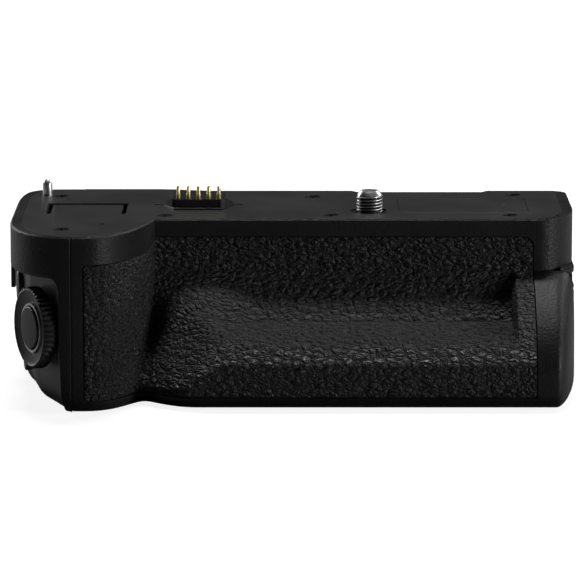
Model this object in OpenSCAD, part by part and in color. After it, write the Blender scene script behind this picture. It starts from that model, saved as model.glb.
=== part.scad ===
// Battery grip that screws under a camera. Millimetres. The origin lies on the
// camera screw's axis at the seat, +X to the battery end, +Y back, +Z up.

/* [Body] */
// Width from the control end to the battery end
body_w = 134.3; // [130:0.1:142]
// Depth of the body behind its recessed front face
body_d = 43.8; // [40:0.1:47]
// Height from the camera seat to the base
body_h = 42; // [38:0.1:46]
// Height of the straight collar under the seat
collar_h = 12.5; // [11.5:0.1:12.9]
// Wall thickness of the shells
wall = 1.6; // [1.3:0.1:1.7]
// Distance from the camera screw to the battery end
screw_to_end = 48.93; // [46:0.01:52]
// Distance from the recessed front face to the camera screw
screw_to_front = 12.5; // [12.2:0.1:13.5]
// Radius of the rounded lower front edge
edge_r = 5; // [4:0.1:6]

/* [Seat plate] */
// Thickness of the seat plate
plate_t = 1.6; // [1.2:0.1:2]
// Width of the rim at the two ends of the plate
rim_end = 2.4; // [1.8:0.1:3]
// Width of the thin lip along the front and the rear
lip_t = 0.65; // [0.5:0.05:0.9]
// Inward step of the rear finger notch
notch_d = 2.1; // [1.5:0.1:2.5]
// Width of the rear finger notch
notch_w = 33.6; // [28:0.1:38]
// Backward swell of the rear thumb rest
thumb_d = 2.7; // [1:0.1:4]

/* [Hand column] */
// Forward reach of the column
column_reach = 26.5; // [23:0.1:29]
// Width of the column to the left of its crest
column_left = 17.25; // [16.5:0.05:19]
// Width of the column to the right of its crest
column_right = 16.9; // [14:0.1:19]
// Width of the control end cover
cap_w = 15.35; // [14.8:0.05:16]

/* [Vertical grip] */
// Forward reach of the vertical grip
bar_reach = 22; // [20:0.1:25]
// Height over which the vertical grip swells out
bar_rise = 21; // [19:0.1:23]
// How far the foot of the vertical grip spreads toward the column
bar_spread = 10; // [6:0.5:12]
// Depth of the finger pocket
pocket_d = 1.5; // [0.5:0.1:1.8]
// Distance of the finger pocket's lower edge below the collar
pocket_low = 9.5; // [8:0.1:10.5]
// Thickness of the grained cover
cover_t = 1; // [0.7:0.05:1.2]
// Height of the smooth band above the cover at the recess
cover_top = 4.27; // [3.5:0.01:5.5]
// Height of the smooth band above the cover on the column
cover_top_column = 6.7; // [5.8:0.1:8]
// Distance of the cover's edge from the battery end
cover_end = 10.15; // [9.6:0.05:12]

/* [Dial pad] */
// Angle that the pad is turned from the end toward the front
pad_angle = 26; // [23:0.5:28]
// Width of the pad
pad_w = 18.7; // [18.2:0.1:19.2]
// Height of the overhang above the pad
pad_drop = 10; // [8:0.1:11]
// Radius of the knurled dial
dial_r = 9.65; // [9:0.05:9.9]
// Height of the dial
dial_t = 3.3; // [2.6:0.1:4]
// Number of ribs on the dial
dial_teeth = 50; // [36:1:60]
// Radius of the shutter button
shutter_r = 5; // [4.4:0.1:5.1]
// Travel of the shutter button
shutter_travel = 1; // [0.6:0.1:1.6]
// Depth of the dial's centre below the seat
dial_z = 22.8; // [22:0.1:24]
// Radius of the three end buttons
end_button_r = 2.9; // [2.4:0.1:3.1]
// Travel of the control lock
lock_travel = 3; // [2:0.1:3.5]
// Spacing of the three end buttons
end_button_step = 9.2; // [8.5:0.1:9.6]

/* [Camera screw] */
// Radius of the camera thread
thread_r = 3.175; // [2.9:0.005:3.3]
// Length of the thread above the seat
thread_l = 5; // [4:0.1:6]
// Module of the gear pair
gear_m = 0.8; // [0.75:0.01:0.82]
// Teeth of the screw gear
screw_teeth = 21; // [20:1:21]
// Teeth of the wheel gear
wheel_teeth = 24; // [23:1:25]
// How far the thumb wheel shows beyond the notch
wheel_out = 1.6; // [1:0.1:2]
// Sideways offset of the thumb wheel from the screw
wheel_x = 12.9; // [11.5:0.1:14]
// Radius of the locating pin
pin_r = 1.2; // [1:0.05:1.5]
// Straight length of the locating pin
pin_l = 3; // [2:0.1:4]

/* [Connector] */
// Width of the raised contact block
block_w = 12.9; // [12.6:0.1:14]
// Depth of the raised contact block
block_d = 13.5; // [12:0.1:14.5]
// Height of the raised contact block
block_h = 2.3; // [1.5:0.1:3]
// Spacing of the contact pins
contact_pitch = 2.45; // [2.2:0.05:2.55]
// Height of the contact pins above the block
contact_l = 3; // [2:0.1:3.5]

/* [Battery bay] */
// Space between the bay and the rear face of the body
bay_rear = 4.7; // [4.6:0.1:7]
// Depth of the bay's roof below the seat
bay_roof = 18.9; // [18.7:0.1:21]
// Length of the bay
bay_l = 55; // [50:0.5:57]
// Thickness of the base plate
base_t = 1.4; // [1.2:0.1:1.5]

/* [Rear controls] */
// Radius of the rear dial
rear_dial_r = 8; // [7:0.1:8.5]
// Width of the rear dial
rear_dial_w = 5; // [4:0.1:5.5]
// How far the rear dial stands out
rear_dial_out = 2.2; // [1.5:0.1:2.5]
// Radius of the focus button
focus_r = 3.3; // [2.6:0.1:3.6]
// Radius of the menu button
menu_r = 2.7; // [2.2:0.1:3.2]

/* [Hidden] */
$fn = 48;
// Fit of pieces that are fixed together, gap of pieces that move past each other,
// and running clearance of a turned pin
fit = 0.05;
gap = 0.3;
run = 0.05;
// Planes of the body
xl = screw_to_end - body_w;
xr = screw_to_end;
yf = -screw_to_front;
yr = body_d - screw_to_front;
zb = -body_h;
seam_x = xl + cap_w;
crest_x = xl + column_left;
crease_x = crest_x + column_right;
// Corner ellipses at the battery end, of the collar and of the lower body
turn_top = [9, 16];
turn_low = [5.5, 8];
rear_r = 4;
// The front and the rear shell part this far behind the recessed front
part_y = yf + 0.5;
// The vertical grip grows out of the column between these two lines
bar_x0 = crease_x - 9.9;
bar_x1 = crease_x + 20;
// Edges of the grained cover
cover_x0 = seam_x + 2.9;
cover_x1 = xr - cover_end;
cover_low = 3;
pocket_x1 = cover_x1 - 4.2;
// Wheel window and gear positions
gear_gap = gear_m * (screw_teeth + wheel_teeth) / 2;
wheel_y = sqrt(gear_gap * gear_gap - wheel_x * wheel_x);
wheel_r = yr - notch_d + wheel_out - wheel_y;
gear_z = -12.3;
gear_t = 3;
disc_z = -16.9;
disc_t = 3.6;
mesh_a = atan2(wheel_y, wheel_x);
notch_x0 = wheel_x - notch_w / 2;
notch_x1 = wheel_x + notch_w / 2;
// Metal frame under the seat plate
frame_top = -plate_t - 0.1;
frame_t = 2.4;
// Bay and door
liner = 0.8;
bay_z0 = zb + base_t + 0.1 + liner;
bay_h = body_h - bay_roof - base_t - 0.1 - liner;
bay_z1 = bay_z0 + bay_h;
mouth_x = xr - 5.2;
bay_x0 = mouth_x - bay_l;
bay_y0 = yf + 0.7;
bay_y1 = yr - bay_rear;
bay_w = bay_y1 - bay_y0;
base_y1 = yr - notch_d - wall - 0.2;
hinge_x = xr - 2;
hinge_z = -collar_h - 3.7;
hinge_r = 1.6;
hinge_pin_r = 0.75;
door_z1 = hinge_z - 2;
door_z0 = zb + 0.5;
door_y0 = part_y + gap;
door_y1 = yr - 3;
seal_y0 = door_y0 + 1.65;
seal_w = bay_y0 + bay_w + 0.2 - seal_y0;
door_in = xr - 4.9;
latch_z = zb + 11;
// Dial pad and end face
pad_x = seam_x - 2.9;
pad_p = [pad_x, yf - column_reach * pow(1 - pow((crest_x - pad_x) / column_left, 2.3), 1 / 2.3)];
pad_t = [-sin(pad_angle), cos(pad_angle)];
pad_q = pad_p + pad_w * pad_t;
end_p = [xl, yf + 13];
end_v = end_p - pad_q;
end_a = atan2(-end_v[0], end_v[1]);
end_t = [-sin(end_a), cos(end_a)];
dial_c = pad_p + 10 * pad_t;
tube_r = 5.75;
tube_in = 5.3;
end_c = pad_q + 13 * end_t;
end_in = xl + wall + 2.6;
end_z = zb + 16.8;
floor_z = zb + 3.4;
// Rear controls
rest_y = yr + thumb_d;
rest_x1 = seam_x + 25;
thumb_c = [seam_x + 11.5, zb + 9];
thumb_w = 20;
thumb_h = 9;
rear_dial_x = xl + 8.4;
rear_dial_y = rest_y + rear_dial_out - rear_dial_r;
rear_dial_z = -16.5;
axle_r = 1;
stick_x = seam_x + 6.2;
stick_z = -20.5;
stick_y = rest_y - 4.6;
focus_x = seam_x + 7.5;
focus_z = -9.2;
menu_x = seam_x + 17.5;
menu_z = -10.5;
board_t = 1.2;
// Connector and seat details
block_c = [crease_x + 10.05, yf + 22.1];
contact_y = block_c[1] - block_d / 2 + 2.2;
guide_c = [xl + 6.65, yf + 36.8];
pin_root = pin_r - 0.2;
tray_c = [seam_x + 2, yf + 15.6];
tray_w = 20.4;
tray_d = 17.6;
tray_h = 1.4;
tray_sink = 0.3;
label_c = [22.6, yf + 20.7];
label_w = 30.9;
label_d = 22;
label_t = 0.3;
socket_c = [0, yf - 9.5];
socket_r = 5;

// Shape of the skin
function unit(t) = min(1, max(0, t));
function smooth(t) = unit(t) * unit(t) * (3 - 2 * unit(t));
// Forward reach of the column at x
function column_f(x) =
  x >= crease_x ? 0 :
  x > crest_x ? column_reach * (1 - pow((x - crest_x) / column_right, 2.6)) :
  column_reach * pow(1 - pow(unit((crest_x - x) / column_left), 2.3), 1 / 2.3);
// Forward reach of the vertical grip at x and z
function bar_f(x, z) = let (s = bar_spread * smooth((-collar_h - z - 11.5) / 16))
  bar_reach * smooth((x - bar_x0 + s) / (bar_x1 - bar_x0))
  * pow(sin(90 * unit((-collar_h - z) / bar_rise)), 1.3);
// Drawing in of the lower front edge
function edge_f(z) = let (d = min(edge_r, max(0, zb + edge_r - z)))
  edge_r - sqrt(edge_r * edge_r - d * d);
function reach(x, z) = pow(pow(column_f(x), 3) + pow(bar_f(x, z), 3), 1 / 3) - edge_f(z);
function turn(z) = z > -collar_h ? turn_top : turn_low;
// Point of the front skin: u is x as far as the cover's edge, then runs round the corner
function skin(u, z) = let (w = turn(z), s = u - cover_x1, x2 = xr - w[0])
  s <= 0 ? [u, yf - reach(u, z), z] :
  s <= 1 ? let (x = cover_x1 + s * (x2 - cover_x1)) [x, yf - reach(x, z), z] :
  let (f = reach(x2, z), a = (s - 1) * acos((w[1] - part_y + yf) / (f + w[1])))
  [x2 + (w[0] - 0.7 * edge_f(z)) * sin(a), yf + w[1] - (f + w[1]) * cos(a), z];
// Outward normal of the front skin
function skin_n(u, z) = let (e = 0.02,
  n = cross(skin(u + e, z) - skin(u - e, z), skin(u, z + e) - skin(u, z - e))) n / norm(n);
// Depth of the finger pocket under the skin
function pocket(u, z) = let (d = -collar_h - z)
  pocket_d * smooth((u - bar_x0 - 12) / 22) * (u > pocket_x1 ? 0 : 1)
  * (d > pocket_low + 0.01 ? 0 : smooth((d - 0.2) / (pocket_low * 0.45)));
// Upper edge of the grained cover
function cover_z(u) = -cover_top_column
  + (cover_top_column - cover_top) * smooth((u - crease_x + 1.5) / 1.6);

// Stations along the front skin, and its rows as [share of the cover's edge, height]
turn_n = 10;
stations = concat([seam_x, cover_x0 - 0.05, cover_x0],
  [for (k = [1:18]) crest_x + column_right * sin(5 * k)],
  [for (k = [1:7]) crease_x + (bar_x1 - crease_x) * k / 7],
  [for (k = [1:7]) bar_x1 + (pocket_x1 - bar_x1) * k / 7],
  [pocket_x1 + 0.3, cover_x1, cover_x1 + 0.05],
  [for (k = [0:turn_n]) cover_x1 + 1 + k / turn_n]);
rows = concat([[0, 0], [0, -plate_t - fit], [0, -plate_t - fit - 0.05], [1, 0.05], [1, 0]],
  [[0, -collar_h * 0.75], [0, -collar_h + 0.05], [0, -collar_h - 0.05]],
  [for (k = [1:5]) [0, -collar_h - pocket_low * k / 5]],
  [[0, -collar_h - pocket_low - 0.3]],
  [for (k = [1:5]) [0, -collar_h - pocket_low
    + (zb + edge_r + collar_h + pocket_low) * k / 5]],
  [[0, zb + cover_low], [0, zb + cover_low - 0.05]],
  [for (a = [45, 65, 90]) [0, zb + edge_r * (1 - sin(a))]]);
row_a = 4;
row_b = len(rows) - 5;
st_a = 2;
st_b = len(stations) - turn_n - 3;
function row_z(j, u) = rows[j][0] * cover_z(u) + rows[j][1];
function covered(i, j) = i >= st_a && i <= st_b && j >= row_a && j <= row_b;
// Point of the skin at a station and a row, sunk by d
function sunk(i, j, d) = let (u = stations[i], z = row_z(j, u)) skin(u, z) - d * skin_n(u, z);
function dip(i, j) = pocket(stations[i], row_z(j, stations[i]));

// Thick sheet between two grids of n by m points
module sheet(outer, inner, n, m) {
  o = n * m;
  points = concat([for (r = outer) each r], [for (r = inner) each r]);
  faces = concat(
    [for (i = [0:n - 2], j = [0:m - 2], k = [0, 1]) let (a = i * m + j)
      k == 0 ? [a, a + 1, a + m + 1] : [a, a + m + 1, a + m]],
    [for (i = [0:n - 2], j = [0:m - 2], k = [0, 1]) let (a = o + i * m + j)
      k == 0 ? [a, a + m + 1, a + 1] : [a, a + m, a + m + 1]],
    [for (i = [0:n - 2], k = [0, 1]) let (a = i * m)
      k == 0 ? [a, a + m, a + m + o] : [a, a + m + o, a + o]],
    [for (i = [0:n - 2], k = [0, 1]) let (a = i * m + m - 1)
      k == 0 ? [a, a + m + o, a + m] : [a, a + o, a + m + o]],
    [for (j = [0:m - 2], k = [0, 1]) let (a = j)
      k == 0 ? [a, a + o + 1, a + 1] : [a, a + o, a + o + 1]],
    [for (j = [0:m - 2], k = [0, 1]) let (a = (n - 1) * m + j)
      k == 0 ? [a, a + 1, a + o + 1] : [a, a + o + 1, a + o]]);
  polyhedron(points = points, faces = faces, convexity = 8);
}

// Plan outlines, counter-clockwise
function arc(c, r, a0, a1, n) = [for (k = [0:n]) let (a = a0 + (a1 - a0) * k / n)
  [c[0] + r[0] * cos(a), c[1] + r[1] * sin(a)]];
function bend(t) = t <= 0 ? 0 : pow(t, 2 / 2.3);
left_front = [for (k = [0:20]) let (a = 4.5 * k)
  [crest_x - column_left * bend(cos(a)), yf - column_reach * bend(sin(a))]];
column_side = [for (k = [1:18]) let (x = crest_x + column_right * sin(5 * k))
  [x, yf - column_f(x)]];
rear_left = [[seam_x, rest_y], [xl + 9, rest_y], [xl + 5.6, rest_y - 0.7],
  [xl + 3.2, rest_y - 2.2], [xl + 1.4, rest_y - 5], [xl + 0.3, rest_y - 11], [xl, rest_y - 17]];
rear_run = concat(arc([xr - rear_r, yr - rear_r], [rear_r, rear_r], 0, 90, 9),
  [[rest_x1 + 6, yr], [rest_x1 + 2, yr + thumb_d * 0.35], [rest_x1 - 2, yr + thumb_d * 0.8],
  [rest_x1 - 6, rest_y]]);
rear_notched = concat(arc([xr - rear_r, yr - rear_r], [rear_r, rear_r], 0, 90, 9),
  [[notch_x1, yr], [notch_x1 - 1.5, yr - notch_d], [notch_x0 + 1.5, yr - notch_d],
  [notch_x0, yr], [rest_x1 + 6, yr], [rest_x1 + 2, yr + thumb_d * 0.35],
  [rest_x1 - 2, yr + thumb_d * 0.8], [rest_x1 - 6, rest_y]]);
turn_run = arc([xr - turn_top[0], yf + turn_top[1]], turn_top, 270, 360, 14);
low_run = arc([xr - turn_low[0], yf + turn_low[1]], turn_low, 270, 360, 14);
seat_outline = concat(left_front, column_side, turn_run, rear_notched, rear_left);
low_outline = concat(left_front, column_side, low_run, rear_notched, rear_left);
body_outline = concat(left_front, column_side, low_run, rear_run, rear_left);
pad_outline = concat([[seam_x, yf - column_f(seam_x)]], rear_left,
  [end_p, pad_q, pad_p]);
// Outline moved inwards by d
function side(a, b) = let (v = b - a) [-v[1], v[0]] / norm(v);
function inset(p, d) = let (n = len(p)) [for (i = [0:n - 1])
  let (a = side(p[(i + n - 1) % n], p[i]), b = side(p[i], p[(i + 1) % n]))
  p[i] + d * (a + b) / (1 + a * b)];

// Taper of the end cover toward the base
function taper(z) = 3 * pow(unit((-z - 12) / 30), 2);

module rounded(w, h, r) {
  square([w - 2 * r, h], center = true);
  square([w, h - 2 * r], center = true);
  for (x = [-1, 1]) {
    for (y = [-1, 1]) {
      translate([x * (w / 2 - r), y * (h / 2 - r)]) circle(r);
    }
  }
}
module ribbed(r, n, d) {
  polygon([for (k = [0:2 * n - 1]) let (a = 180 * k / n, q = k % 2 == 0 ? r : r - d)
    [q * cos(a), q * sin(a)]]);
}
module gear(n, a0) {
  p = 360 / n;
  r = gear_m * n / 2;
  polygon([for (k = [0:n - 1]) each [
    for (s = [[-0.27, -1.15], [-0.1, 0.75], [0.1, 0.75], [0.27, -1.15]])
    let (a = a0 + p * (k + s[0]), q = r + gear_m * s[1]) [q * cos(a), q * sin(a)]]]);
}
// Local frames: the dial pad, the end face and the rear face, +Z outwards
module on_pad() {
  translate([dial_c[0], dial_c[1], -dial_z]) rotate([0, 90, 180 + pad_angle]) children();
}
module on_end(z) {
  translate([end_c[0], end_c[1], z]) rotate([0, 90, 180 + end_a])
    translate([0, 0, -taper(z)]) children();
}
module on_rear(x, z) {
  translate([x, rest_y, z]) rotate([-90, 0, 0]) children();
}
module plate_outline(d) {
  polygon(inset([for (p = seat_outline) [p[0] + (rim_end - lip_t)
    * (smooth((xl + 17 - p[0]) / 17) - smooth((p[0] - xr + 10) / 10)), p[1]]], lip_t + 0.15 - d));
}
top_screw_at = [[xl + 12.75, yf - 14.7], [xl + 10.25, yf + 35.3], [crease_x + 2.2, yf + 5.6],
  [-13.5, yf + 34.5], [-9.4, yf + 5.9], [xr - 13.1, yf + 37.2], [xr - 15.6, yf + 6.1]];
base_screw_at = [[seam_x + 8, yf - 10], [-45, yf + 33], [-22, yf - 13], [xr - 20, yf - 13]];
rear_screw_at = [[-30, zb + 10], [-20, -8]];

// Outer skin
module front_shell() {
  n = len(stations);
  m = len(rows);
  color([0.07, 0.07, 0.075]) sheet(
    [for (i = [0:n - 1]) [for (j = [0:m - 1])
      sunk(i, j, covered(i, j) ? cover_t + fit + dip(i, j) : 0)]],
    [for (i = [0:n - 1]) [for (j = [0:m - 1])
      sunk(i, j, j < 2 ? lip_t : cover_t + fit + wall + dip(i, j))]], n, m);
}
module front_grip_cover() {
  n = st_b - st_a + 1;
  m = row_b - row_a + 1;
  color([0.1, 0.1, 0.1]) sheet(
    [for (i = [st_a:st_b]) [for (j = [row_a:row_b]) sunk(i, j, dip(i, j))]],
    [for (i = [st_a:st_b]) [for (j = [row_a:row_b]) sunk(i, j, cover_t + dip(i, j))]], n, m);
}
module hinge_barrel(d) {
  w = (door_y1 - door_y0) / 5;
  for (k = d) {
    translate([hinge_x, door_y0 + k * w + 0.15, hinge_z]) rotate([-90, 0, 0])
      cylinder(r = hinge_r, h = w - 0.3);
  }
}
// Space that the front shell's end takes between two heights, as it stands at height z
module front_end(z, z0, z1) {
  u = stations[len(stations) - 1];
  p = skin(u, z);
  v = skin_n(u, z);
  n = [v[0], v[1]] / norm([v[0], v[1]]);
  t = [-n[1], n[0]];
  a = [p[0], p[1]] + 0.1 * t + 0.4 * n;
  b = [p[0], p[1]] + 0.1 * t - (cover_t + fit + wall + 0.15) * n;
  translate([0, 0, z0]) linear_extrude(z1 - z0) polygon([a, b, b - 6 * t, a - 6 * t]);
}
// Corner in front of the hinge, round the pin below it and drawn in so that the door clears it
module cheek() {
  w = (door_y1 - door_y0) / 5;
  intersection() {
    translate([0, 0, hinge_z - hinge_r]) linear_extrude(-collar_h + 0.5 - hinge_z + hinge_r)
      polygon(inset(low_outline, 0.4));
    translate([hinge_x - hinge_r, part_y, hinge_z - 5]) cube([9, w + gap - 0.15, 20]);
    translate([0, 100, 0]) rotate([90, 0, 0]) linear_extrude(200)
      polygon(concat(arc([hinge_x, hinge_z], [hinge_r, hinge_r], 180, 360, 12),
        [[xr, hinge_z], [xr, 0], [hinge_x - hinge_r, 0]]));
  }
}
module rear_shell() {
  w = (door_y1 - door_y0) / 5;
  window = sqrt(wheel_r * wheel_r - pow(yr - notch_d - wall - wheel_y, 2)) + 0.6;
  color([0.075, 0.075, 0.08]) difference() {
    union() {
      intersection() {
        translate([0, 0, -collar_h]) linear_extrude(collar_h) polygon(seat_outline);
        translate([seam_x + fit, part_y, zb - 1]) cube([body_w, 100, body_h + 2]);
      }
      intersection() {
        translate([0, 0, -collar_h - 8]) linear_extrude(8)
          polygon(low_outline);
        translate([seam_x + fit, part_y, zb - 1]) cube([body_w, 100, body_h + 2]);
      }
      intersection() {
        translate([0, 0, zb]) linear_extrude(body_h - collar_h - 8) polygon(body_outline);
        translate([seam_x + fit, part_y, zb - 1]) cube([body_w, 100, body_h + 2]);
        translate([-200, 0, 0]) rotate([90, 0, 90]) linear_extrude(400)
          polygon(concat([[-100, zb + 60], [-100, zb]],
            arc([rest_y - 3, zb + 3], [3, 3], 270, 360, 5), [[rest_y, zb + 60]]));
      }
      for (k = [0, 2, 4]) {
        translate([hinge_x - 1.2, door_y0 + k * w + 0.15, hinge_z])
          cube([2.4, w - 0.3, -collar_h - 1 - hinge_z]);
      }
      hinge_barrel([0, 2, 4]);
      cheek();
    }
    // Hollow, with a ledge under the seat plate and a flange round the base plate
    translate([0, 0, zb + base_t]) linear_extrude(body_h - base_t + 1)
      intersection() {
        polygon(inset(seat_outline, wall));
        translate([xl, part_y - 1]) square([body_w - rim_end - 1.4, 100]);
      }
    translate([seam_x - 1, part_y - 1, zb - 1])
      cube([xr - turn_top[0] + 2 - seam_x, 8, body_h + 2]);
    translate([xr - turn_top[0], part_y - 1, -collar_h - 1.9]) cube([turn_top[0] / 2, 3.6, 2.1]);
    translate([seam_x - 1, part_y - 1, zb - 1])
      cube([door_in - 0.5 - seam_x + 1, base_y1 + 0.15 - part_y + 1, base_t + 2]);
    translate([0, 0, -plate_t - fit]) linear_extrude(10) plate_outline(fit);
    translate([seam_x - 1, part_y - 1, zb - 1])
      cube([mouth_x + 0.2 - seam_x + 1, base_y1 + 0.15 - part_y + 1, body_h - collar_h - 0.6]);
    // Room for the end of the front shell
    front_end(-collar_h + 0.05, -collar_h + 0.05, 0.1);
    for (k = [0:12]) {
      for (s = [k, k + 1]) {
        front_end(-collar_h - 0.05 - 0.45 * s, -collar_h - 0.05 - 0.45 * (k + 1),
          -collar_h + 0.1 - 0.45 * k);
      }
    }
    // Door opening under the collar
    difference() {
      translate([mouth_x + 0.1, part_y - 1, zb - 1])
        cube([20, door_y1 + gap - part_y + 1, body_h - collar_h - 0.1]);
      for (k = [0, 2, 4]) {
        translate([hinge_x - 1.2, door_y0 + k * w + 0.15, hinge_z])
          cube([2.4, w - 0.3, 20]);
      }
      hinge_barrel([0, 2, 4]);
      cheek();
    }
    translate([hinge_x, door_y0 - 1, hinge_z]) rotate([-90, 0, 0])
      cylinder(r = hinge_pin_r + fit, h = door_y1 - door_y0 + 2);
    translate([wheel_x - window, wheel_y, disc_z - 0.4])
      cube([2 * window, 40, disc_t + 0.8]);
    on_rear(stick_x, stick_z) translate([0, 0, -6]) cylinder(r = 3.4, h = 12);
    on_rear(focus_x, focus_z) translate([0, 0, -6]) cylinder(r = focus_r + run, h = 12);
    on_rear(menu_x, menu_z) translate([0, 0, -6]) cylinder(r = menu_r + run, h = 12);
    on_rear(thumb_c[0], thumb_c[1]) translate([0, 0, -0.6]) linear_extrude(5)
      rounded(thumb_w + 0.2, thumb_h + 0.2, 2);
    for (p = rear_screw_at) {
      translate([p[0], yr - 3, p[1]]) rotate([-90, 0, 0]) cylinder(r = 0.9, h = 9);
      translate([p[0], yr - 0.9, p[1]]) rotate([-90, 0, 0]) cylinder(r = 1.8, h = 9);
    }
  }
}
module control_end_cover() {
  color([0.07, 0.07, 0.075]) difference() {
    union() {
      difference() {
        intersection() {
          union() {
            translate([0, 0, -pad_drop]) linear_extrude(pad_drop) polygon(seat_outline);
            translate([0, 0, zb]) linear_extrude(body_h - pad_drop) polygon(pad_outline);
          }
          translate([xl - 1, -100, zb - 1]) cube([cap_w + 1, 200, body_h + 2]);
          // Taper and rounded lower edge of the end
          translate([0, 100, 0]) rotate([90, 0, 0]) linear_extrude(200)
            polygon(concat([[seam_x + 1, 1], [xl, 1]],
              [for (z = [-12:-4:-38]) [xl + taper(z), z]],
              [for (a = [20:14:90]) [xl + taper(zb + 4 - 4 * sin(a)) + 4 - 4 * cos(a),
                zb + 4 - 4 * sin(a)]], [[seam_x + 1, zb]]));
          // Rounded lower front and rear edges
          translate([-200, 0, 0]) rotate([90, 0, 90]) linear_extrude(400)
            polygon(concat([[rest_y + 1, 1], [yf - column_reach - 1, 1]],
              [[yf - column_f(seam_x), zb + edge_r + 1]],
              arc([yf - column_f(seam_x) + edge_r, zb + edge_r], [edge_r, edge_r], 180, 270, 6),
              arc([rest_y - 3, zb + 3], [3, 3], 270, 360, 4), [[rest_y + 1, zb + 4]]));
        }
        // Hollow
        translate([0, 0, floor_z]) linear_extrude(-plate_t - floor_z)
          intersection() {
            polygon(inset(pad_outline, wall));
            translate([end_in, -100]) square([cap_w + 10, 200]);
          }
        translate([seam_x - wall - 0.2, yf - column_f(seam_x) + 2.6, floor_z])
          cube([5, rest_y - yf + column_f(seam_x) - 2.6 - wall, -plate_t - floor_z]);
        translate([0, 0, -plate_t - fit]) linear_extrude(10) plate_outline(fit);
      }
      // Ears that carry the rear dial's pin
      for (s = [-1, 1]) {
        translate([rear_dial_x + s * (rear_dial_w / 2 + 1.1) - 0.6, rear_dial_y - 2.2,
          rear_dial_z - 2.2]) cube([1.2, rest_y - wall / 2 - rear_dial_y + 2.2, 4.4]);
      }
    }
    on_pad() translate([0, 0, -4]) cylinder(r = tube_r + fit, h = 8);
    for (k = [-1:1]) {
      z = end_z - k * end_button_step;
      on_end(z) translate([0, 0, -9]) cylinder(r = end_button_r + run, h = 12);
    }
    // Window of the lock switch
    translate([xl - 1, yf + 20 - 1.3, -13.4 - lock_travel - 4.6]) cube([8, 2.6, lock_travel + 4.6]);
    translate([rear_dial_x - rear_dial_w / 2 - gap, rear_dial_y,
      rear_dial_z - rear_dial_r - gap]) cube([rear_dial_w + 2 * gap, 30, 2 * rear_dial_r + 2 * gap]);
    translate([rear_dial_x - rear_dial_w / 2 - 1.8, rear_dial_y, rear_dial_z]) rotate([0, 90, 0])
      cylinder(r = axle_r + fit, h = rear_dial_w + 3.6);
    for (p = [top_screw_at[0], top_screw_at[1]]) {
      translate([p[0], p[1], -8]) cylinder(r = 0.85, h = 9);
    }
    translate([tray_c[0], tray_c[1], -plate_t - tray_h - 0.1]) linear_extrude(10)
      square([tray_w + 1.4, tray_d + 1.4], center = true);
    translate([guide_c[0], guide_c[1], -plate_t - 3.6]) cylinder(r = pin_root + fit, h = 9);
    translate([guide_c[0], guide_c[1], -plate_t - 1]) cylinder(r = pin_r + 1.1, h = 9);
  }
}
module top_plate() {
  color([0.24, 0.24, 0.25]) difference() {
    translate([0, 0, -plate_t]) linear_extrude(plate_t) plate_outline(0);
    translate([0, 0, -5]) cylinder(r = 4.7, h = 10);
    for (p = top_screw_at) {
      translate([p[0], p[1], -5]) cylinder(r = 1.05, h = 10);
      translate([p[0], p[1], -0.9]) cylinder(r = 2, h = 10);
    }
    translate([guide_c[0], guide_c[1], -5]) cylinder(r = pin_root + fit, h = 10);
    translate([block_c[0], block_c[1], -5]) linear_extrude(10)
      square([block_w + 0.2, block_d + 0.2], center = true);
    translate([block_c[0], block_c[1], -0.5]) linear_extrude(10) flange_outline(0.1);
    translate([tray_c[0], tray_c[1], -5]) linear_extrude(10)
      square([tray_w - 1, tray_d - 1], center = true);
    translate([label_c[0], label_c[1], -label_t - fit]) linear_extrude(10)
      rounded(label_w + 0.36, label_d + 0.36, 2.6);
    for (s = [-1, 1]) {
      translate([block_c[0] + s * (block_w / 2 + 3.1), block_c[1], -5]) linear_extrude(10)
        square([2.2, 0.9], center = true);
    }
    translate([seam_x + 6.4, yf - 7.1, -5]) cylinder(r = 0.75, h = 10);
  }
}
module flange_outline(d) {
  w = block_w / 2 + 1.85 + d;
  h = block_d / 2 + 1.75 + d;
  polygon([[-w, -h * 0.3], [-w + 2.4, -h], [w - 2.4, -h], [w, -h * 0.3],
    [w, h * 0.3], [w - 2.4, h], [-w + 2.4, h], [-w, h * 0.3]]);
}
module bottom_cover() {
  n = st_b + turn_n;
  color([0.09, 0.09, 0.095]) difference() {
    translate([0, 0, zb]) linear_extrude(base_t)
      polygon(concat([for (i = [0:n]) let (p = skin(stations[i], zb))
        [i == 0 ? seam_x + 0.2 : min(p[0], door_in - 0.6), p[1] + 0.8]],
        [[door_in - 0.6, base_y1], [seam_x + 0.2, base_y1]]));
    translate([socket_c[0], socket_c[1], zb - 1]) cylinder(r = socket_r + fit, h = 10);
    for (p = base_screw_at) {
      translate([p[0], p[1], zb - 1]) cylinder(r = 1, h = 10);
      translate([p[0], p[1], zb - 1]) cylinder(r = 1.95, h = 1.7);
    }
  }
}
module rear_thumb_pad() {
  color([0.12, 0.12, 0.12]) on_rear(thumb_c[0], thumb_c[1]) translate([0, 0, -0.55])
    linear_extrude(1.25) rounded(thumb_w, thumb_h, 2);
}
module label_plate() {
  color([0.27, 0.27, 0.28]) translate([label_c[0], label_c[1], -label_t])
    linear_extrude(label_t) difference() {
      rounded(label_w, label_d, 2.5);
      translate([label_w * 0.305, 0]) square([2.1, 0.9], center = true);
    }
}
module cap_tray() {
  color([0.13, 0.13, 0.135]) translate([tray_c[0], tray_c[1], -plate_t - tray_h - fit])
    difference() {
      union() {
        linear_extrude(tray_h) square([tray_w + 1, tray_d + 1], center = true);
        linear_extrude(tray_h + plate_t - tray_sink)
          square([tray_w - 1 - 2 * fit, tray_d - 1 - 2 * fit], center = true);
      }
      for (s = [-1, 1]) {
        translate([s * (tray_w / 2 - 1.2), 0, 0.7]) linear_extrude(5)
          square([1, tray_d - 1.2], center = true);
      }
    }
}

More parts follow.
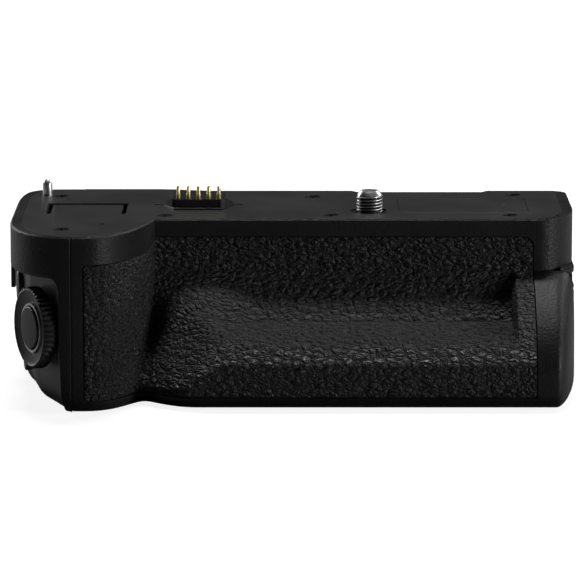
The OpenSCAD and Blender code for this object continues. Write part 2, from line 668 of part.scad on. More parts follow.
// Fixing to the camera
module camera_screw() {
  color([0.75, 0.75, 0.77]) {
    cylinder(r = thread_r, h = thread_l - 1.24);
    translate([0, 0, thread_l - 1.24]) cylinder(r1 = thread_r, r2 = thread_r - 1.07, h = 1.24);
    translate([0, 0, gear_z - 0.3]) cylinder(r = 2.6, h = 0.5 - gear_z);
  }
}
module screw_bush() {
  color([0.7, 0.6, 0.35]) difference() {
    union() {
      translate([0, 0, frame_top - frame_t]) cylinder(r = 4.6, h = frame_t - frame_top - 0.4);
      translate([0, 0, frame_top - frame_t - 1.6]) cylinder(r = 6.2, h = 1.6 - fit);
    }
    translate([0, 0, -20]) cylinder(r = 2.6 + run, h = 40);
  }
}
module screw_gear() {
  color([0.7, 0.7, 0.72]) difference() {
    translate([0, 0, gear_z]) linear_extrude(gear_t) gear(screw_teeth, mesh_a);
    translate([0, 0, -20]) cylinder(r = 2.6 + 0.02, h = 40);
  }
}
module lock_wheel() {
  color([0.16, 0.16, 0.165]) translate([wheel_x, wheel_y, 0]) difference() {
    union() {
      translate([0, 0, disc_z]) linear_extrude(disc_t) ribbed(wheel_r, 60, 0.6);
      translate([0, 0, disc_z + 0.5]) cylinder(r = 6, h = gear_z - disc_z);
      translate([0, 0, gear_z]) linear_extrude(gear_t)
        gear(wheel_teeth, mesh_a + 180 + 180 / wheel_teeth);
    }
    translate([0, 0, -30]) cylinder(r = 1.5 + run, h = 40);
  }
}
module wheel_axle() {
  color([0.75, 0.75, 0.77]) translate([wheel_x, wheel_y, disc_z - 0.3])
    cylinder(r = 1.5, h = frame_top - disc_z + 0.2);
}
module chassis() {
  color([0.55, 0.55, 0.57]) difference() {
    translate([seam_x + 4, yf + 3.4, frame_top - frame_t])
      cube([xr - 6 - seam_x - 4, yr - notch_d - wall - 0.5 - yf - 3.4, frame_t]);
    translate([0, 0, -20]) cylinder(r = 4.6 + fit, h = 40);
    translate([wheel_x, wheel_y, -20]) cylinder(r = 1.5 + 0.02, h = 40);
    for (p = top_screw_at) {
      translate([p[0], p[1], -20]) cylinder(r = 0.85, h = 40);
    }
    translate([block_c[0], block_c[1], -20]) linear_extrude(40)
      square([block_w + 0.4, block_d + 0.4], center = true);
    translate([tray_c[0], tray_c[1], -20]) linear_extrude(40)
      square([tray_w + 1.6, tray_d + 1.6], center = true);
  }
}
module alignment_pin() {
  color([0.78, 0.78, 0.8]) translate([guide_c[0], guide_c[1], 0]) {
    cylinder(r = pin_r, h = pin_l);
    translate([0, 0, -plate_t - 3.5]) cylinder(r = pin_root, h = plate_t + 4);
    translate([0, 0, pin_l]) cylinder(r1 = pin_r, r2 = pin_r - 0.55, h = 0.85);
    translate([0, 0, -plate_t - 0.9]) cylinder(r = pin_r + 1, h = 0.9 - fit);
  }
}
module tripod_socket() {
  color([0.72, 0.72, 0.74]) translate([socket_c[0], socket_c[1], 0]) difference() {
    union() {
      translate([0, 0, zb + 0.1]) cylinder(r = socket_r, h = 9);
      translate([0, 0, zb + base_t + fit]) cylinder(r = socket_r + 2, h = 1.5);
    }
    translate([0, 0, zb - 1]) cylinder(r = thread_r, h = 8.5);
  }
}

// Camera connector
module contact_block() {
  w = block_w / 2;
  h = block_d / 2;
  color([0.1, 0.1, 0.1]) translate([block_c[0], block_c[1], 0]) difference() {
    union() {
      translate([0, 0, -0.45]) linear_extrude(0.85) flange_outline(0);
      translate([0, 0, -8]) linear_extrude(8 + block_h)
        polygon([[-w, 1 - h], [1 - w, -h], [w - 1, -h], [w, 1 - h],
          [w, h - 1], [w - 1, h], [1 - w, h], [-w, h - 1]]);
    }
    for (k = [-2:2]) {
      translate([k * contact_pitch, contact_y - block_c[1], -20]) cylinder(r = 0.85 + run, h = 40);
    }
  }
}
module contact_pin(k) {
  color([0.85, 0.68, 0.3])
    translate([block_c[0] + (k - 3) * contact_pitch, contact_y, block_h]) {
      translate([0, 0, -7]) cylinder(r = 0.85, h = 6.9);
      translate([0, 0, -0.3]) cylinder(r = 0.52, h = contact_l + 0.05);
      translate([0, 0, contact_l - 0.25]) cylinder(r1 = 0.52, r2 = 0.27, h = 0.25);
    }
}
module contact_pin_1() { contact_pin(1); }
module contact_pin_2() { contact_pin(2); }
module contact_pin_3() { contact_pin(3); }
module contact_pin_4() { contact_pin(4); }
module contact_pin_5() { contact_pin(5); }
module main_board() {
  color([0.1, 0.3, 0.16]) translate([block_c[0] - 13, yf + 5, -8.1 - board_t])
    cube([32, stick_y - 4.95 - board_t - yf - 5, board_t]);
}

// Dial pad and control end
module front_dial() {
  color([0.14, 0.14, 0.145]) on_pad() difference() {
    union() {
      translate([0, 0, gap]) linear_extrude(dial_t - gap - 0.3) ribbed(dial_r, dial_teeth, 0.45);
      translate([0, 0, dial_t - 0.5]) cylinder(r = dial_r - 0.65, h = 0.25);
      translate([0, 0, dial_t - 0.25]) cylinder(r1 = dial_r - 0.65, r2 = dial_r - 0.9, h = 0.25);
    }
    translate([0, 0, -1]) cylinder(r = tube_r + run, h = 10);
  }
}
module dial_bushing() {
  color([0.5, 0.5, 0.52]) on_pad() difference() {
    union() {
      translate([0, 0, -wall - 1.2]) cylinder(r = tube_r, h = wall + 1.2 + dial_t - 0.4);
      translate([0, 0, -wall - 1.3]) cylinder(r = tube_r + 1.6, h = 1.2);
    }
    translate([0, 0, -10]) cylinder(r = tube_in, h = 20);
  }
}
module shutter_button() {
  color([0.16, 0.16, 0.165]) on_pad() {
    translate([0, 0, 0.2]) cylinder(r = shutter_r, h = dial_t - 0.3);
    translate([0, 0, dial_t - 0.1]) cylinder(r1 = shutter_r, r2 = shutter_r - 0.7, h = 0.3);
    translate([0, 0, shutter_travel - 3.4]) cylinder(r = 1.8, h = 4 - shutter_travel);
  }
}
module shutter_switch() {
  color([0.3, 0.3, 0.3]) on_pad() {
    translate([-5, -5, -5.9]) cube([10, 10, 2]);
    translate([-5, -5, -4.1]) cube([10, 1, 1.15]);
    translate([-5, 4, -4.1]) cube([10, 1, 1.15]);
  }
}
module end_button(k) {
  color([0.15, 0.15, 0.155]) on_end(end_z - k * end_button_step) {
    translate([0, 0, -5.5]) cylinder(r = end_button_r, h = 6.2);
    translate([0, 0, 0.7]) cylinder(r1 = end_button_r, r2 = end_button_r - 0.4, h = 0.25);
    translate([0, 0, -5.9]) cylinder(r = end_button_r + 0.7, h = 0.7);
  }
}
module exposure_button() { end_button(-1); }
module sensitivity_button() { end_button(0); }
module white_balance_button() { end_button(1); }
module control_board() {
  color([0.1, 0.3, 0.16]) translate([end_c[0], end_c[1], 0]) rotate([0, 90, 180 + end_a])
    translate([pad_drop, -7, -8.8 - board_t]) cube([body_h - pad_drop - 6, 13, board_t]);
}
module lock_switch() {
  color([0.05, 0.05, 0.05]) translate([xl, yf + 20, -15.7]) {
    translate([-1.3, -2.4, -3.9]) cube([1, 4.8, 7.8]);
    translate([-0.4, -1, -2]) cube([6, 2, 4]);
    translate([end_in - xl + gap, -2.4, -3]) cube([1, 4.8, 6]);
  }
}

// Rear controls
module rear_dial() {
  color([0.14, 0.14, 0.145]) translate([rear_dial_x, rear_dial_y, rear_dial_z])
    rotate([0, 90, 0]) difference() {
      translate([0, 0, -rear_dial_w / 2]) linear_extrude(rear_dial_w) ribbed(rear_dial_r, 44, 0.45);
      translate([0, 0, -10]) cylinder(r = axle_r + run, h = 20);
    }
}
module rear_dial_axle() {
  color([0.7, 0.7, 0.72]) translate([rear_dial_x - rear_dial_w / 2 - 1.7, rear_dial_y, rear_dial_z])
    rotate([0, 90, 0]) cylinder(r = axle_r, h = rear_dial_w + 3.4);
}
module on_stick() {
  translate([stick_x, stick_y, stick_z]) rotate([-90, 0, 0]) children();
}
module joystick() {
  color([0.12, 0.12, 0.12]) on_stick() {
    translate([0, 0, -1.5]) cylinder(r = 1.2, h = 7.3);
    translate([0, 0, 5.6]) cylinder(r = 3, h = 1.1);
    translate([0, 0, 6.7]) cylinder(r1 = 3, r2 = 2.3, h = 0.5);
    translate([0, -3.9, 0]) rotate([-90, 0, 0]) cylinder(r = 0.5, h = 7.8);
  }
}
module joystick_gimbal() {
  color([0.6, 0.6, 0.62]) on_stick() difference() {
    union() {
      translate([0, 0, -0.8]) cylinder(r = 4.2, h = 1.6);
      translate([-5.6, 0, 0]) rotate([0, 90, 0]) cylinder(r = 0.5, h = 11.2);
    }
    translate([0, 0, -5]) cylinder(r = 2.9, h = 10);
    translate([0, -10, 0]) rotate([-90, 0, 0]) cylinder(r = 0.5 + run, h = 20);
  }
}
module joystick_base() {
  color([0.35, 0.35, 0.36]) on_stick() difference() {
    union() {
      translate([-6.2, -4.5, -3.9]) cube([12.4, 9, 1.2]);
      translate([-6.2, -1.2, -3.9]) cube([1.4, 2.4, 5]);
      translate([4.8, -1.2, -3.9]) cube([1.4, 2.4, 5]);
    }
    translate([-10, 0, 0]) rotate([0, 90, 0]) cylinder(r = 0.5 + run, h = 20);
  }
}
module rear_button(x, z, r) {
  color([0.15, 0.15, 0.155]) on_rear(x, z) {
    translate([0, 0, -wall - 1.4]) cylinder(r = r, h = wall + 2);
    translate([0, 0, 0.6]) cylinder(r1 = r, r2 = r - 0.4, h = 0.25);
    translate([0, 0, -wall - 1.9]) cylinder(r = r + 0.7, h = 0.7);
  }
}
module focus_button() { rear_button(focus_x, focus_z, focus_r); }
module menu_button() { rear_button(menu_x, menu_z, menu_r); }
module rear_board() {
  color([0.1, 0.3, 0.16])
    translate([seam_x + 1, stick_y - 3.95 - board_t, -27]) cube([21.5, board_t, 22]);
}

// Battery bay
module battery_chamber() {
  color([0.13, 0.13, 0.135]) difference() {
    translate([bay_x0 - liner, bay_y0 - liner, bay_z0 - liner])
      cube([bay_l + liner, bay_w + 2 * liner, bay_h + 2 * liner]);
    translate([bay_x0, bay_y0, bay_z0]) cube([bay_l + 10, bay_w, bay_h]);
    translate([mouth_x - 3.6, bay_y0 - 5, bay_z0 + 8]) cube([10, 8, 7]);
    translate([bay_x0 - 5, bay_y0 + 12, bay_z0 + 3]) cube([10, 14, 6]);
  }
}
module battery_door() {
  w = (door_y1 - door_y0) / 5;
  c = [xr - turn_low[0], yf + turn_low[1]];
  s = turn_low[1] + 9;
  color([0.08, 0.08, 0.085]) difference() {
    union() {
      intersection() {
        translate([0, 0, door_z0]) linear_extrude(door_z1 - door_z0)
          polygon(concat([[door_in, door_y1], [door_in, door_y0 + 1.1], [door_in + 3.2, door_y0]],
            arc(c, [turn_low[0], s], asin((door_y0 - c[1]) / s), 0, 5),
            arc([xr - rear_r, yr - rear_r], [rear_r, rear_r], 0,
              asin((door_y1 - yr + rear_r) / rear_r), 3)));
        translate([0, 100, 0]) rotate([90, 0, 0]) linear_extrude(200)
          polygon(concat([[door_in - 1, 1], [door_in - 1, zb]],
            arc([xr - 4, zb + 4], [4, 4], 270, 360, 8), [[xr, 1]]));
      }
      for (k = [1, 3]) {
        translate([hinge_x - 1.2, door_y0 + k * w + 0.15, door_z1 - 1])
          cube([2.2, w - 0.3, hinge_z - door_z1 + 1]);
      }
      hinge_barrel([1, 3]);
    }
    translate([hinge_x, door_y0 - 1, hinge_z]) rotate([-90, 0, 0])
      cylinder(r = hinge_pin_r + run, h = 60);
    // Recess of the latch knob and slot of its tongue
    translate([xr - 1.6, yf + 12, latch_z - 3]) cube([10, 13, 6]);
    translate([door_in + 0.2, part_y - 5, latch_z - 2]) cube([1.5, 24.5, 4]);
    translate([door_in + 0.4, yf + 13.6, latch_z - 2]) cube([10, 6.4, 4]);
    translate([door_in - 1, seal_y0 - 0.05, bay_z0 - 0.25]) difference() {
      cube([1.3, seal_w + 0.1, bay_h + 0.5]);
      translate([-1, 1.3, 1.3]) cube([5, seal_w - 2.5, bay_h - 2.1]);
    }
  }
}
module door_hinge_pin() {
  color([0.75, 0.75, 0.77]) translate([hinge_x, door_y0 + 0.3, hinge_z]) rotate([-90, 0, 0])
    cylinder(r = hinge_pin_r, h = door_y1 - door_y0 - 0.6);
}
module door_latch() {
  color([0.15, 0.15, 0.155]) {
    translate([xr - 1.3, yf + 15.3, latch_z - 2.7]) cube([1.8, 9.3, 5.4]);
    translate([door_in + 0.7, yf + 17, latch_z - 1.7]) cube([3.2, 2.6, 3.4]);
    translate([door_in + 0.45, door_y0 + 0.4, latch_z - 1.7]) cube([1, yf + 19.6 - door_y0 - 0.4, 3.4]);
  }
}
module door_seal() {
  color([0.2, 0.2, 0.2]) translate([door_in - 0.2, seal_y0, bay_z0 - 0.2]) difference() {
    cube([0.45, seal_w, bay_h + 0.4]);
    translate([-1, 1.2, 1.2]) cube([5, seal_w - 2.4, bay_h - 2]);
  }
}
module battery_lock() {
  color([0.85, 0.4, 0.1]) translate([mouth_x - 3.2, bay_y0, bay_z0 + 8.4]) {
    translate([0, -2.4, 0]) cube([2.6, 3.6, 6.2]);
    translate([0, -3.4, -1]) cube([2.6, 1.2, 8.2]);
  }
}
module contact_carrier() {
  color([0.2, 0.2, 0.21]) translate([bay_x0 - liner - 2.1, bay_y0 + 11, bay_z0 + 2])
    cube([2, 16, 8]);
}
module battery_terminals() {
  color([0.85, 0.68, 0.3]) for (k = [0:3]) {
    translate([bay_x0 - liner - 0.08, bay_y0 + 13.5 + k * 3.2, bay_z0 + 4])
      cube([liner + 1.4, 1.2, 4]);
  }
}

// Fasteners
module top_screws() {
  color([0.12, 0.12, 0.125]) for (p = top_screw_at) {
    translate([p[0], p[1], 0]) difference() {
      union() {
        translate([0, 0, -0.85]) cylinder(r = 1.9, h = 0.7);
        translate([0, 0, -5.5]) cylinder(r = 0.8, h = 5);
      }
      translate([-1.1, -0.2, -0.5]) cube([2.2, 0.4, 2]);
      translate([-0.2, -1.1, -0.5]) cube([0.4, 2.2, 2]);
    }
  }
}
module bottom_screws() {
  color([0.12, 0.12, 0.125]) for (p = base_screw_at) {
    translate([p[0], p[1], zb]) difference() {
      union() {
        translate([0, 0, 0.1]) cylinder(r = 1.85, h = 0.55);
        translate([0, 0, 0.3]) cylinder(r = 0.95, h = 4.7);
      }
      translate([-1.1, -0.2, -1]) cube([2.2, 0.4, 1.35]);
      translate([-0.2, -1.1, -1]) cube([0.4, 2.2, 1.35]);
    }
  }
}
module rear_screws() {
  color([0.12, 0.12, 0.125]) for (p = rear_screw_at) {
    translate([p[0], yr, p[1]]) rotate([-90, 0, 0]) difference() {
      union() {
        translate([0, 0, -0.85]) cylinder(r = 1.7, h = 0.6);
        translate([0, 0, -5]) cylinder(r = 0.85, h = 4.5);
      }
      translate([-1.1, -0.2, -0.6]) cube([2.2, 0.4, 2]);
      translate([-0.2, -1.1, -0.6]) cube([0.4, 2.2, 2]);
    }
  }
}

front_shell();
rear_shell();
control_end_cover();
top_plate();
bottom_cover();
front_grip_cover();
rear_thumb_pad();
label_plate();
cap_tray();
camera_screw();
screw_bush();
screw_gear();
lock_wheel();
wheel_axle();
chassis();
alignment_pin();
tripod_socket();
contact_block();
contact_pin_1();
contact_pin_2();
contact_pin_3();
contact_pin_4();
contact_pin_5();
main_board();
front_dial();
dial_bushing();
shutter_button();
shutter_switch();
exposure_button();
sensitivity_button();
white_balance_button();
lock_switch();
control_board();
rear_dial();
rear_dial_axle();
joystick();
joystick_gimbal();
joystick_base();
focus_button();
menu_button();
rear_board();
battery_chamber();
battery_door();
door_hinge_pin();
door_latch();
door_seal();
battery_lock();
contact_carrier();
battery_terminals();
top_screws();
bottom_screws();
rear_screws();
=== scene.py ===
import math

import bmesh
import bpy
import numpy as np
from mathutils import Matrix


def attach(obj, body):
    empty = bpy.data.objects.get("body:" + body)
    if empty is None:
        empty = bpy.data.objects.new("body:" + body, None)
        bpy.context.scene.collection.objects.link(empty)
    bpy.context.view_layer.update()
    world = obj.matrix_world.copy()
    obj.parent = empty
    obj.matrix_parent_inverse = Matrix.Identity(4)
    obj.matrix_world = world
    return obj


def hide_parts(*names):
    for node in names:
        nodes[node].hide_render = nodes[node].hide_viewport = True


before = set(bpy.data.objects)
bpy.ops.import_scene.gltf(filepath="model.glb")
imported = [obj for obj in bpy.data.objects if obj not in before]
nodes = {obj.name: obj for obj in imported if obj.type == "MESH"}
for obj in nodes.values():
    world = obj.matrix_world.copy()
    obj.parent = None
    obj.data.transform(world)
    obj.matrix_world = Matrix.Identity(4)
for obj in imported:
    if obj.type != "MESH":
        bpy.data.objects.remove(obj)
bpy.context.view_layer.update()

# Sizes of the part in millimetres, in the frame of the CAD model
MM = 0.001
XL, XR, YF, YR, ZB = -85.37, 48.93, -12.5, 31.3, -42.0
COLLAR, RIM, LIP, TOP_EASE = 12.5, 2.4, 0.65, 0.4
SHELL_WALL, END_WALL = 2.65, 2.2
REBATE_TOP, REBATE_MID, REBATE_LOW = -1.6, -1.66, -1.72
SEAM, CREST, CREASE = -70.02, -68.12, -51.22
SEAM_EASE, SEAM_STEPS = 0.22, (0, 0.08, 0.18, 0.35)
COLUMN_REACH, COLUMN_LEFT, COLUMN_RIGHT = 26.5, 17.25, 16.9
COLUMN_BOW, COLUMN_FALL = 2.3, 2.6
PART_Y = YF + 0.5
BAR_X0, BAR_X1, BAR_REACH = CREASE - 9.9, CREASE + 20, 22.0
BAR_RISE, BAR_POWER, BAR_SPREAD = 22.0, 0.8, 10.0
COVER_X0, COVER_X1, COVER_LOW = SEAM + 2.9, XR - 10.15, ZB + 3
COVER_TOP, COVER_STEP, COVER_CORNER = -6.7, 2.43, 2.6
COVER_T, COVER_BED, COVER_GAP, COVER_ROUND = 1.0, 1.06, 0.12, 0.36
POCKET_X0, POCKET_X1, POCKET_LOW = BAR_X0 + 12, COVER_X1 - 4.2, 9.5
POCKET_SLOPE, POCKET_FADE = 0.8, 4.5
EDGE_R = 5.0
REST_Y = YR + 2.7
PAD_ANGLE = math.radians(26)
PAD_EDGE, PAD_LENGTH, PAD_DROP = 2.9, 18.7, 10.0
PAD_SINK, PAD_CORNER = 0.45, 3.0
END_Z, END_STEP = ZB + 16.8, 9.2
CONTACT_X, CONTACT_Y, CONTACT_STEP = CREASE + 10.05, 5.05, 2.45


# Form of the skin

def smooth(t):
    """Three times the square less twice the cube of t, with t held between 0 and 1."""
    t = np.clip(t, 0, 1)
    return t * t * (3 - 2 * t)


def column(x):
    """Forward reach of the hand column at x: one less a power of the distance from the crest on the
    right side, a superellipse on the left side."""
    right = 1 - np.clip((x - CREST) / COLUMN_RIGHT, 0, 1) ** COLUMN_FALL
    left = (1 - np.clip((CREST - x) / COLUMN_LEFT, 0, 1) ** COLUMN_BOW) ** (1 / COLUMN_BOW)
    return COLUMN_REACH * np.where(x > CREST, right, left)


def bar(x, z):
    """Forward reach of the lower grip: a smooth ramp along x, which starts further left near the base,
    times a power of a quarter sine below the collar."""
    s = BAR_SPREAD * smooth((-COLLAR - z - 11.5) / 16)
    rise = np.sin(math.pi / 2 * np.clip((-COLLAR - z) / BAR_RISE, 0, 1)) ** BAR_POWER
    return BAR_REACH * smooth((x - BAR_X0 + s) / (BAR_X1 - BAR_X0)) * rise


def edge(z):
    """Drawing in of the lower front edge: a quarter circle over its radius."""
    d = np.clip(ZB + EDGE_R - z, 0, EDGE_R)
    return EDGE_R - np.sqrt(EDGE_R ** 2 - d ** 2)


def reach(x, z):
    """Cube root of the summed cubes of column and lower grip, less the drawn-in lower edge."""
    return np.cbrt(column(x) ** 3 + bar(x, z) ** 3) - edge(z)


def pocket_lip(u):
    """Height of the fold at the foot of the finger pocket: level under the fingers, rising towards the
    column."""
    return -COLLAR - POCKET_LOW - 1.1 + 4.0 * smooth((-30.2 - u) / 18.0)


def pocket(u, z):
    """Depth of the finger pocket in the lower grip: down to the fold, the reach of the grip less a
    plain slope, and below the fold the depth there times the square of what is left of a short
    fade. It closes by a smooth ramp at the column and a steep wall at the battery end."""
    fold = pocket_lip(u)
    above = np.maximum(z, fold)
    deep = np.maximum(0, bar(u, above) - POCKET_SLOPE * (-COLLAR - above))
    below = (1 - np.clip((fold - z) / POCKET_FADE, 0, 1)) ** 2
    shut = smooth((u - POCKET_X0) / 26) * smooth((POCKET_X1 - u) / 1.5)
    return np.where(z < -COLLAR, deep * below * shut, 0)


def skin(u, z):
    """Point of the front skin. As far as the end of the grained cover u is x, and the finger pocket is
    taken off the reach. Then it runs on to the corner of the battery end and round it on an
    ellipse, which is larger in the collar than below it."""
    top = smooth((z + COLLAR + 0.35) / 0.7)
    w0, w1 = 5.5 + 3.5 * top, 8 + 8 * top
    s = u - COVER_X1
    x = np.where(s <= 0, u, COVER_X1 + np.clip(s, 0, 1) * (XR - w0 - COVER_X1))
    f = reach(x, z) - np.where(s <= 0, pocket(u, z), 0)
    a = np.clip(s - 1, 0, None) * np.arccos(np.clip((w1 - PART_Y + YF) / (f + w1), -1, 1))
    x = x + (w0 - 0.7 * edge(z)) * np.sin(a)
    return np.stack([x, YF + w1 - (f + w1) * np.cos(a), z + 0 * u], -1)


def sunk(u, z, d):
    """Point of the front skin moved inwards by d along its normal, the cross product of small steps
    along u and z."""
    e = 0.02
    n = np.cross(skin(u + e, z) - skin(u - e, z), skin(u, z + e) - skin(u, z - e))
    n /= np.linalg.norm(n, axis=-1, keepdims=True)
    return skin(u, z) - np.asarray(d)[..., None] * n


def cover_line(u):
    """Upper edge of the grained cover without its corner: lower on the column than on the recess, with
    a short smooth step at the crease."""
    return COVER_TOP + COVER_STEP * smooth((u - CREASE + 1.5) / 1.6)


def cover_top(u):
    """Upper edge of the grained cover with its quarter round at the battery end."""
    k = np.clip((u - COVER_X1 + COVER_CORNER) / COVER_CORNER, 0, 1)
    return cover_line(u) - COVER_CORNER * (1 - np.sqrt(1 - k * k))


def cover_rim(u, z):
    """Distance outside the outline of the grained cover, negative within: the larger of the distances
    past its ends and past its edges, with a round corner at the top of the battery end."""
    end = u - COVER_X1
    end = np.where(end > 0, end * np.where(z > -COLLAR, 1.15, 4.65), end)
    top = z - cover_line(u)
    r = np.where((end > -6) & (top > -6), COVER_CORNER, 0.7)
    a = np.maximum(COVER_X0 - u, end) + r
    b = np.maximum(top, COVER_LOW - z) + r
    return np.minimum(np.maximum(a, b), 0) + np.hypot(np.maximum(a, 0), np.maximum(b, 0)) - r


def painted_shade(u, z):
    """Share of painted shade in the fold at the foot of the finger pocket and at its end: a bell over the
    distance from each, which fades out towards the column and the collar."""
    lip = pocket_lip(u)
    fold = np.exp(-((z - lip - 0.05) / 0.26) ** 2) * (u < POCKET_X1)
    end = np.exp(-((u - POCKET_X1 + 1.0) / 0.5) ** 2) * smooth((z - lip + 0.3) / 0.6)
    fade = smooth((u - POCKET_X0) / 14) * smooth((-COLLAR - z - 0.2) / 2)
    return np.maximum(fold, 0.8 * end) * fade


# Meshes from grids of points

def grid_faces(n, m, wrap_n=False, wrap_m=False):
    """Quads between neighbouring points of an n by m grid, closed round either way where asked."""
    i = np.arange(n if wrap_n else n - 1)[:, None]
    j = np.arange(m if wrap_m else m - 1)[None, :]
    a, b = (i + 1) % n, (j + 1) % m
    return np.stack([i * m + j, a * m + j, a * m + b, i * m + b], -1).reshape(-1, 4)


def thick(outer, inner):
    """Closed wall between two grids: both sheets, and a strip between them along all four edges."""
    n, m = outer.shape[:2]
    quads = grid_faces(n, m)
    i, j, last = np.arange(n - 1) * m, np.arange(m - 1), (n - 1) * m
    a = np.concatenate([j, last + j, i, i + m - 1])
    b = np.concatenate([j + 1, last + j + 1, i + m, i + 2 * m - 1])
    strips = np.stack([a, b, b + n * m, a + n * m], -1)
    faces = np.concatenate([quads, quads[:, ::-1] + n * m, strips])
    return np.concatenate([outer.reshape(-1, 3), inner.reshape(-1, 3)]), faces


def turned(profile, n, ribs=0, rib_d=0.0, ring=False):
    """Profile of radius, height and share of ribbing, carried round an axis. Ribs lower the radius by a
    rounded wave. A ring's profile closes on itself."""
    p = np.asarray(profile, float)
    a = np.linspace(0, 2 * math.pi, n, endpoint=False)
    wave = rib_d * (0.5 - 0.5 * np.cos(ribs * a)) ** 0.6
    r = p[:, :1] - (p[:, 2:3] if p.shape[1] > 2 else 0) * wave
    points = np.stack([r * np.cos(a), r * np.sin(a), p[:, 1:2] + 0 * a], -1)
    return points.reshape(-1, 3), grid_faces(len(p), n, ring, True)


def stand(points, origin, ex, ey, ez):
    """Points of a local frame set into the part: origin plus each coordinate times its own direction."""
    return np.asarray(origin, float) + points @ np.array([ex, ey, ez], float)


def place(name, points, faces, finish, body, slot, stands_for, sharp=32, facing=None, marks=None,
          flat=False):
    """Mesh object at the origin, in metres, with doubles merged and faces turned outwards, which rides on
    a body and stands for CAD nodes; its slot is not used. Faces that look one way below a height may take
    another finish, marks are kept as a point attribute, and coplanar triangles may be joined."""
    mesh = bpy.data.meshes.new(name)
    mesh.from_pydata((np.asarray(points) * MM).tolist(), [], np.asarray(faces).tolist())
    if marks is not None:
        shade = mesh.attributes.new("painted_shade", "FLOAT", "POINT")
        shade.data.foreach_set("value", np.asarray(marks, np.float32).ravel())
    bm = bmesh.new()
    bm.from_mesh(mesh)
    bmesh.ops.remove_doubles(bm, verts=bm.verts, dist=2e-7)
    if flat:
        bmesh.ops.dissolve_limit(bm, angle_limit=math.radians(0.3), verts=bm.verts, edges=bm.edges)
    bmesh.ops.recalc_face_normals(bm, faces=bm.faces)
    bm.to_mesh(mesh)
    bm.free()
    mesh.shade_smooth()
    mesh.set_sharp_from_angle(angle=math.radians(sharp))
    mesh.materials.append(finish)
    if facing:
        other, height, way = facing
        mesh.materials.append(other)
        count = len(mesh.polygons)
        centre, normal = np.empty(count * 3), np.empty(count * 3)
        mesh.polygons.foreach_get("center", centre)
        mesh.polygons.foreach_get("normal", normal)
        towards = normal.reshape(-1, 3) @ np.asarray(way, float)
        chosen = (centre[2::3] < height * MM) & (towards > 0.93)
        mesh.polygons.foreach_set("material_index", chosen.astype(np.int32))
    obj = bpy.data.objects.new(name, mesh)
    bpy.context.scene.collection.objects.link(obj)
    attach(obj, body)
    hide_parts(*stands_for)
    return obj


def refined(node, finish, body, slot, ease):
    """Copy of a CAD solid with its triangles joined into whole faces, smooth on its curves and eased by
    a bevel along its sharp edges."""
    sharp = 30
    data = nodes[node].data
    data.calc_loop_triangles()
    points = np.empty(len(data.vertices) * 3)
    faces = np.empty(len(data.loop_triangles) * 3, np.int32)
    data.vertices.foreach_get("co", points)
    data.loop_triangles.foreach_get("vertices", faces)
    obj = place(node + "_piece", points.reshape(-1, 3) * 1000, faces.reshape(-1, 3), finish, body,
                slot, (node,), sharp, flat=True)
    bevel = obj.modifiers.new("eased_edges", "BEVEL")
    bevel.width = ease * MM
    bevel.segments = 3
    bevel.limit_method = "ANGLE"
    bevel.angle_limit = math.radians(sharp)
    bevel.harden_normals = True


# Finishes

def group(name, inputs, outputs):
    """Empty shader node group with named float or vector sockets."""
    g = bpy.data.node_groups.new(name, "ShaderNodeTree")
    for n, kind, value in inputs:
        s = g.interface.new_socket(n, in_out="INPUT", socket_type=kind)
        if kind == "NodeSocketFloat":
            s.default_value = value
    for n in outputs:
        g.interface.new_socket(n, in_out="OUTPUT", socket_type="NodeSocketFloat")
    return g, g.nodes.new("NodeGroupInput"), g.nodes.new("NodeGroupOutput")


def math_node(tree, op, a, b=None, c=None, clamp=False):
    """Math node whose inputs are sockets or numbers."""
    n = tree.nodes.new("ShaderNodeMath")
    n.operation = op
    n.use_clamp = clamp
    for k, v in enumerate((a, b, c)):
        if v is None:
            continue
        if isinstance(v, (int, float)):
            n.inputs[k].default_value = v
        else:
            tree.links.new(v, n.inputs[k])
    return n.outputs[0]


def noise(tree, vector, scale, detail=2.0, rough=0.5):
    """Noise texture read at a vector, its scale a number or a socket."""
    n = tree.nodes.new("ShaderNodeTexNoise")
    n.inputs["Detail"].default_value = detail
    n.inputs["Roughness"].default_value = rough
    tree.links.new(vector, n.inputs["Vector"])
    if isinstance(scale, (int, float)):
        n.inputs["Scale"].default_value = scale
    else:
        tree.links.new(scale, n.inputs["Scale"])
    return n


def ramp(tree, value, low, high, start=0.0, end=1.0):
    """Map Range node that carries low to high onto start to end with a smooth step."""
    n = tree.nodes.new("ShaderNodeMapRange")
    n.interpolation_type = "SMOOTHSTEP"
    n.inputs["From Min"].default_value = low
    n.inputs["From Max"].default_value = high
    n.inputs["To Min"].default_value = start
    n.inputs["To Max"].default_value = end
    tree.links.new(value, n.inputs["Value"])
    return n.outputs["Result"]


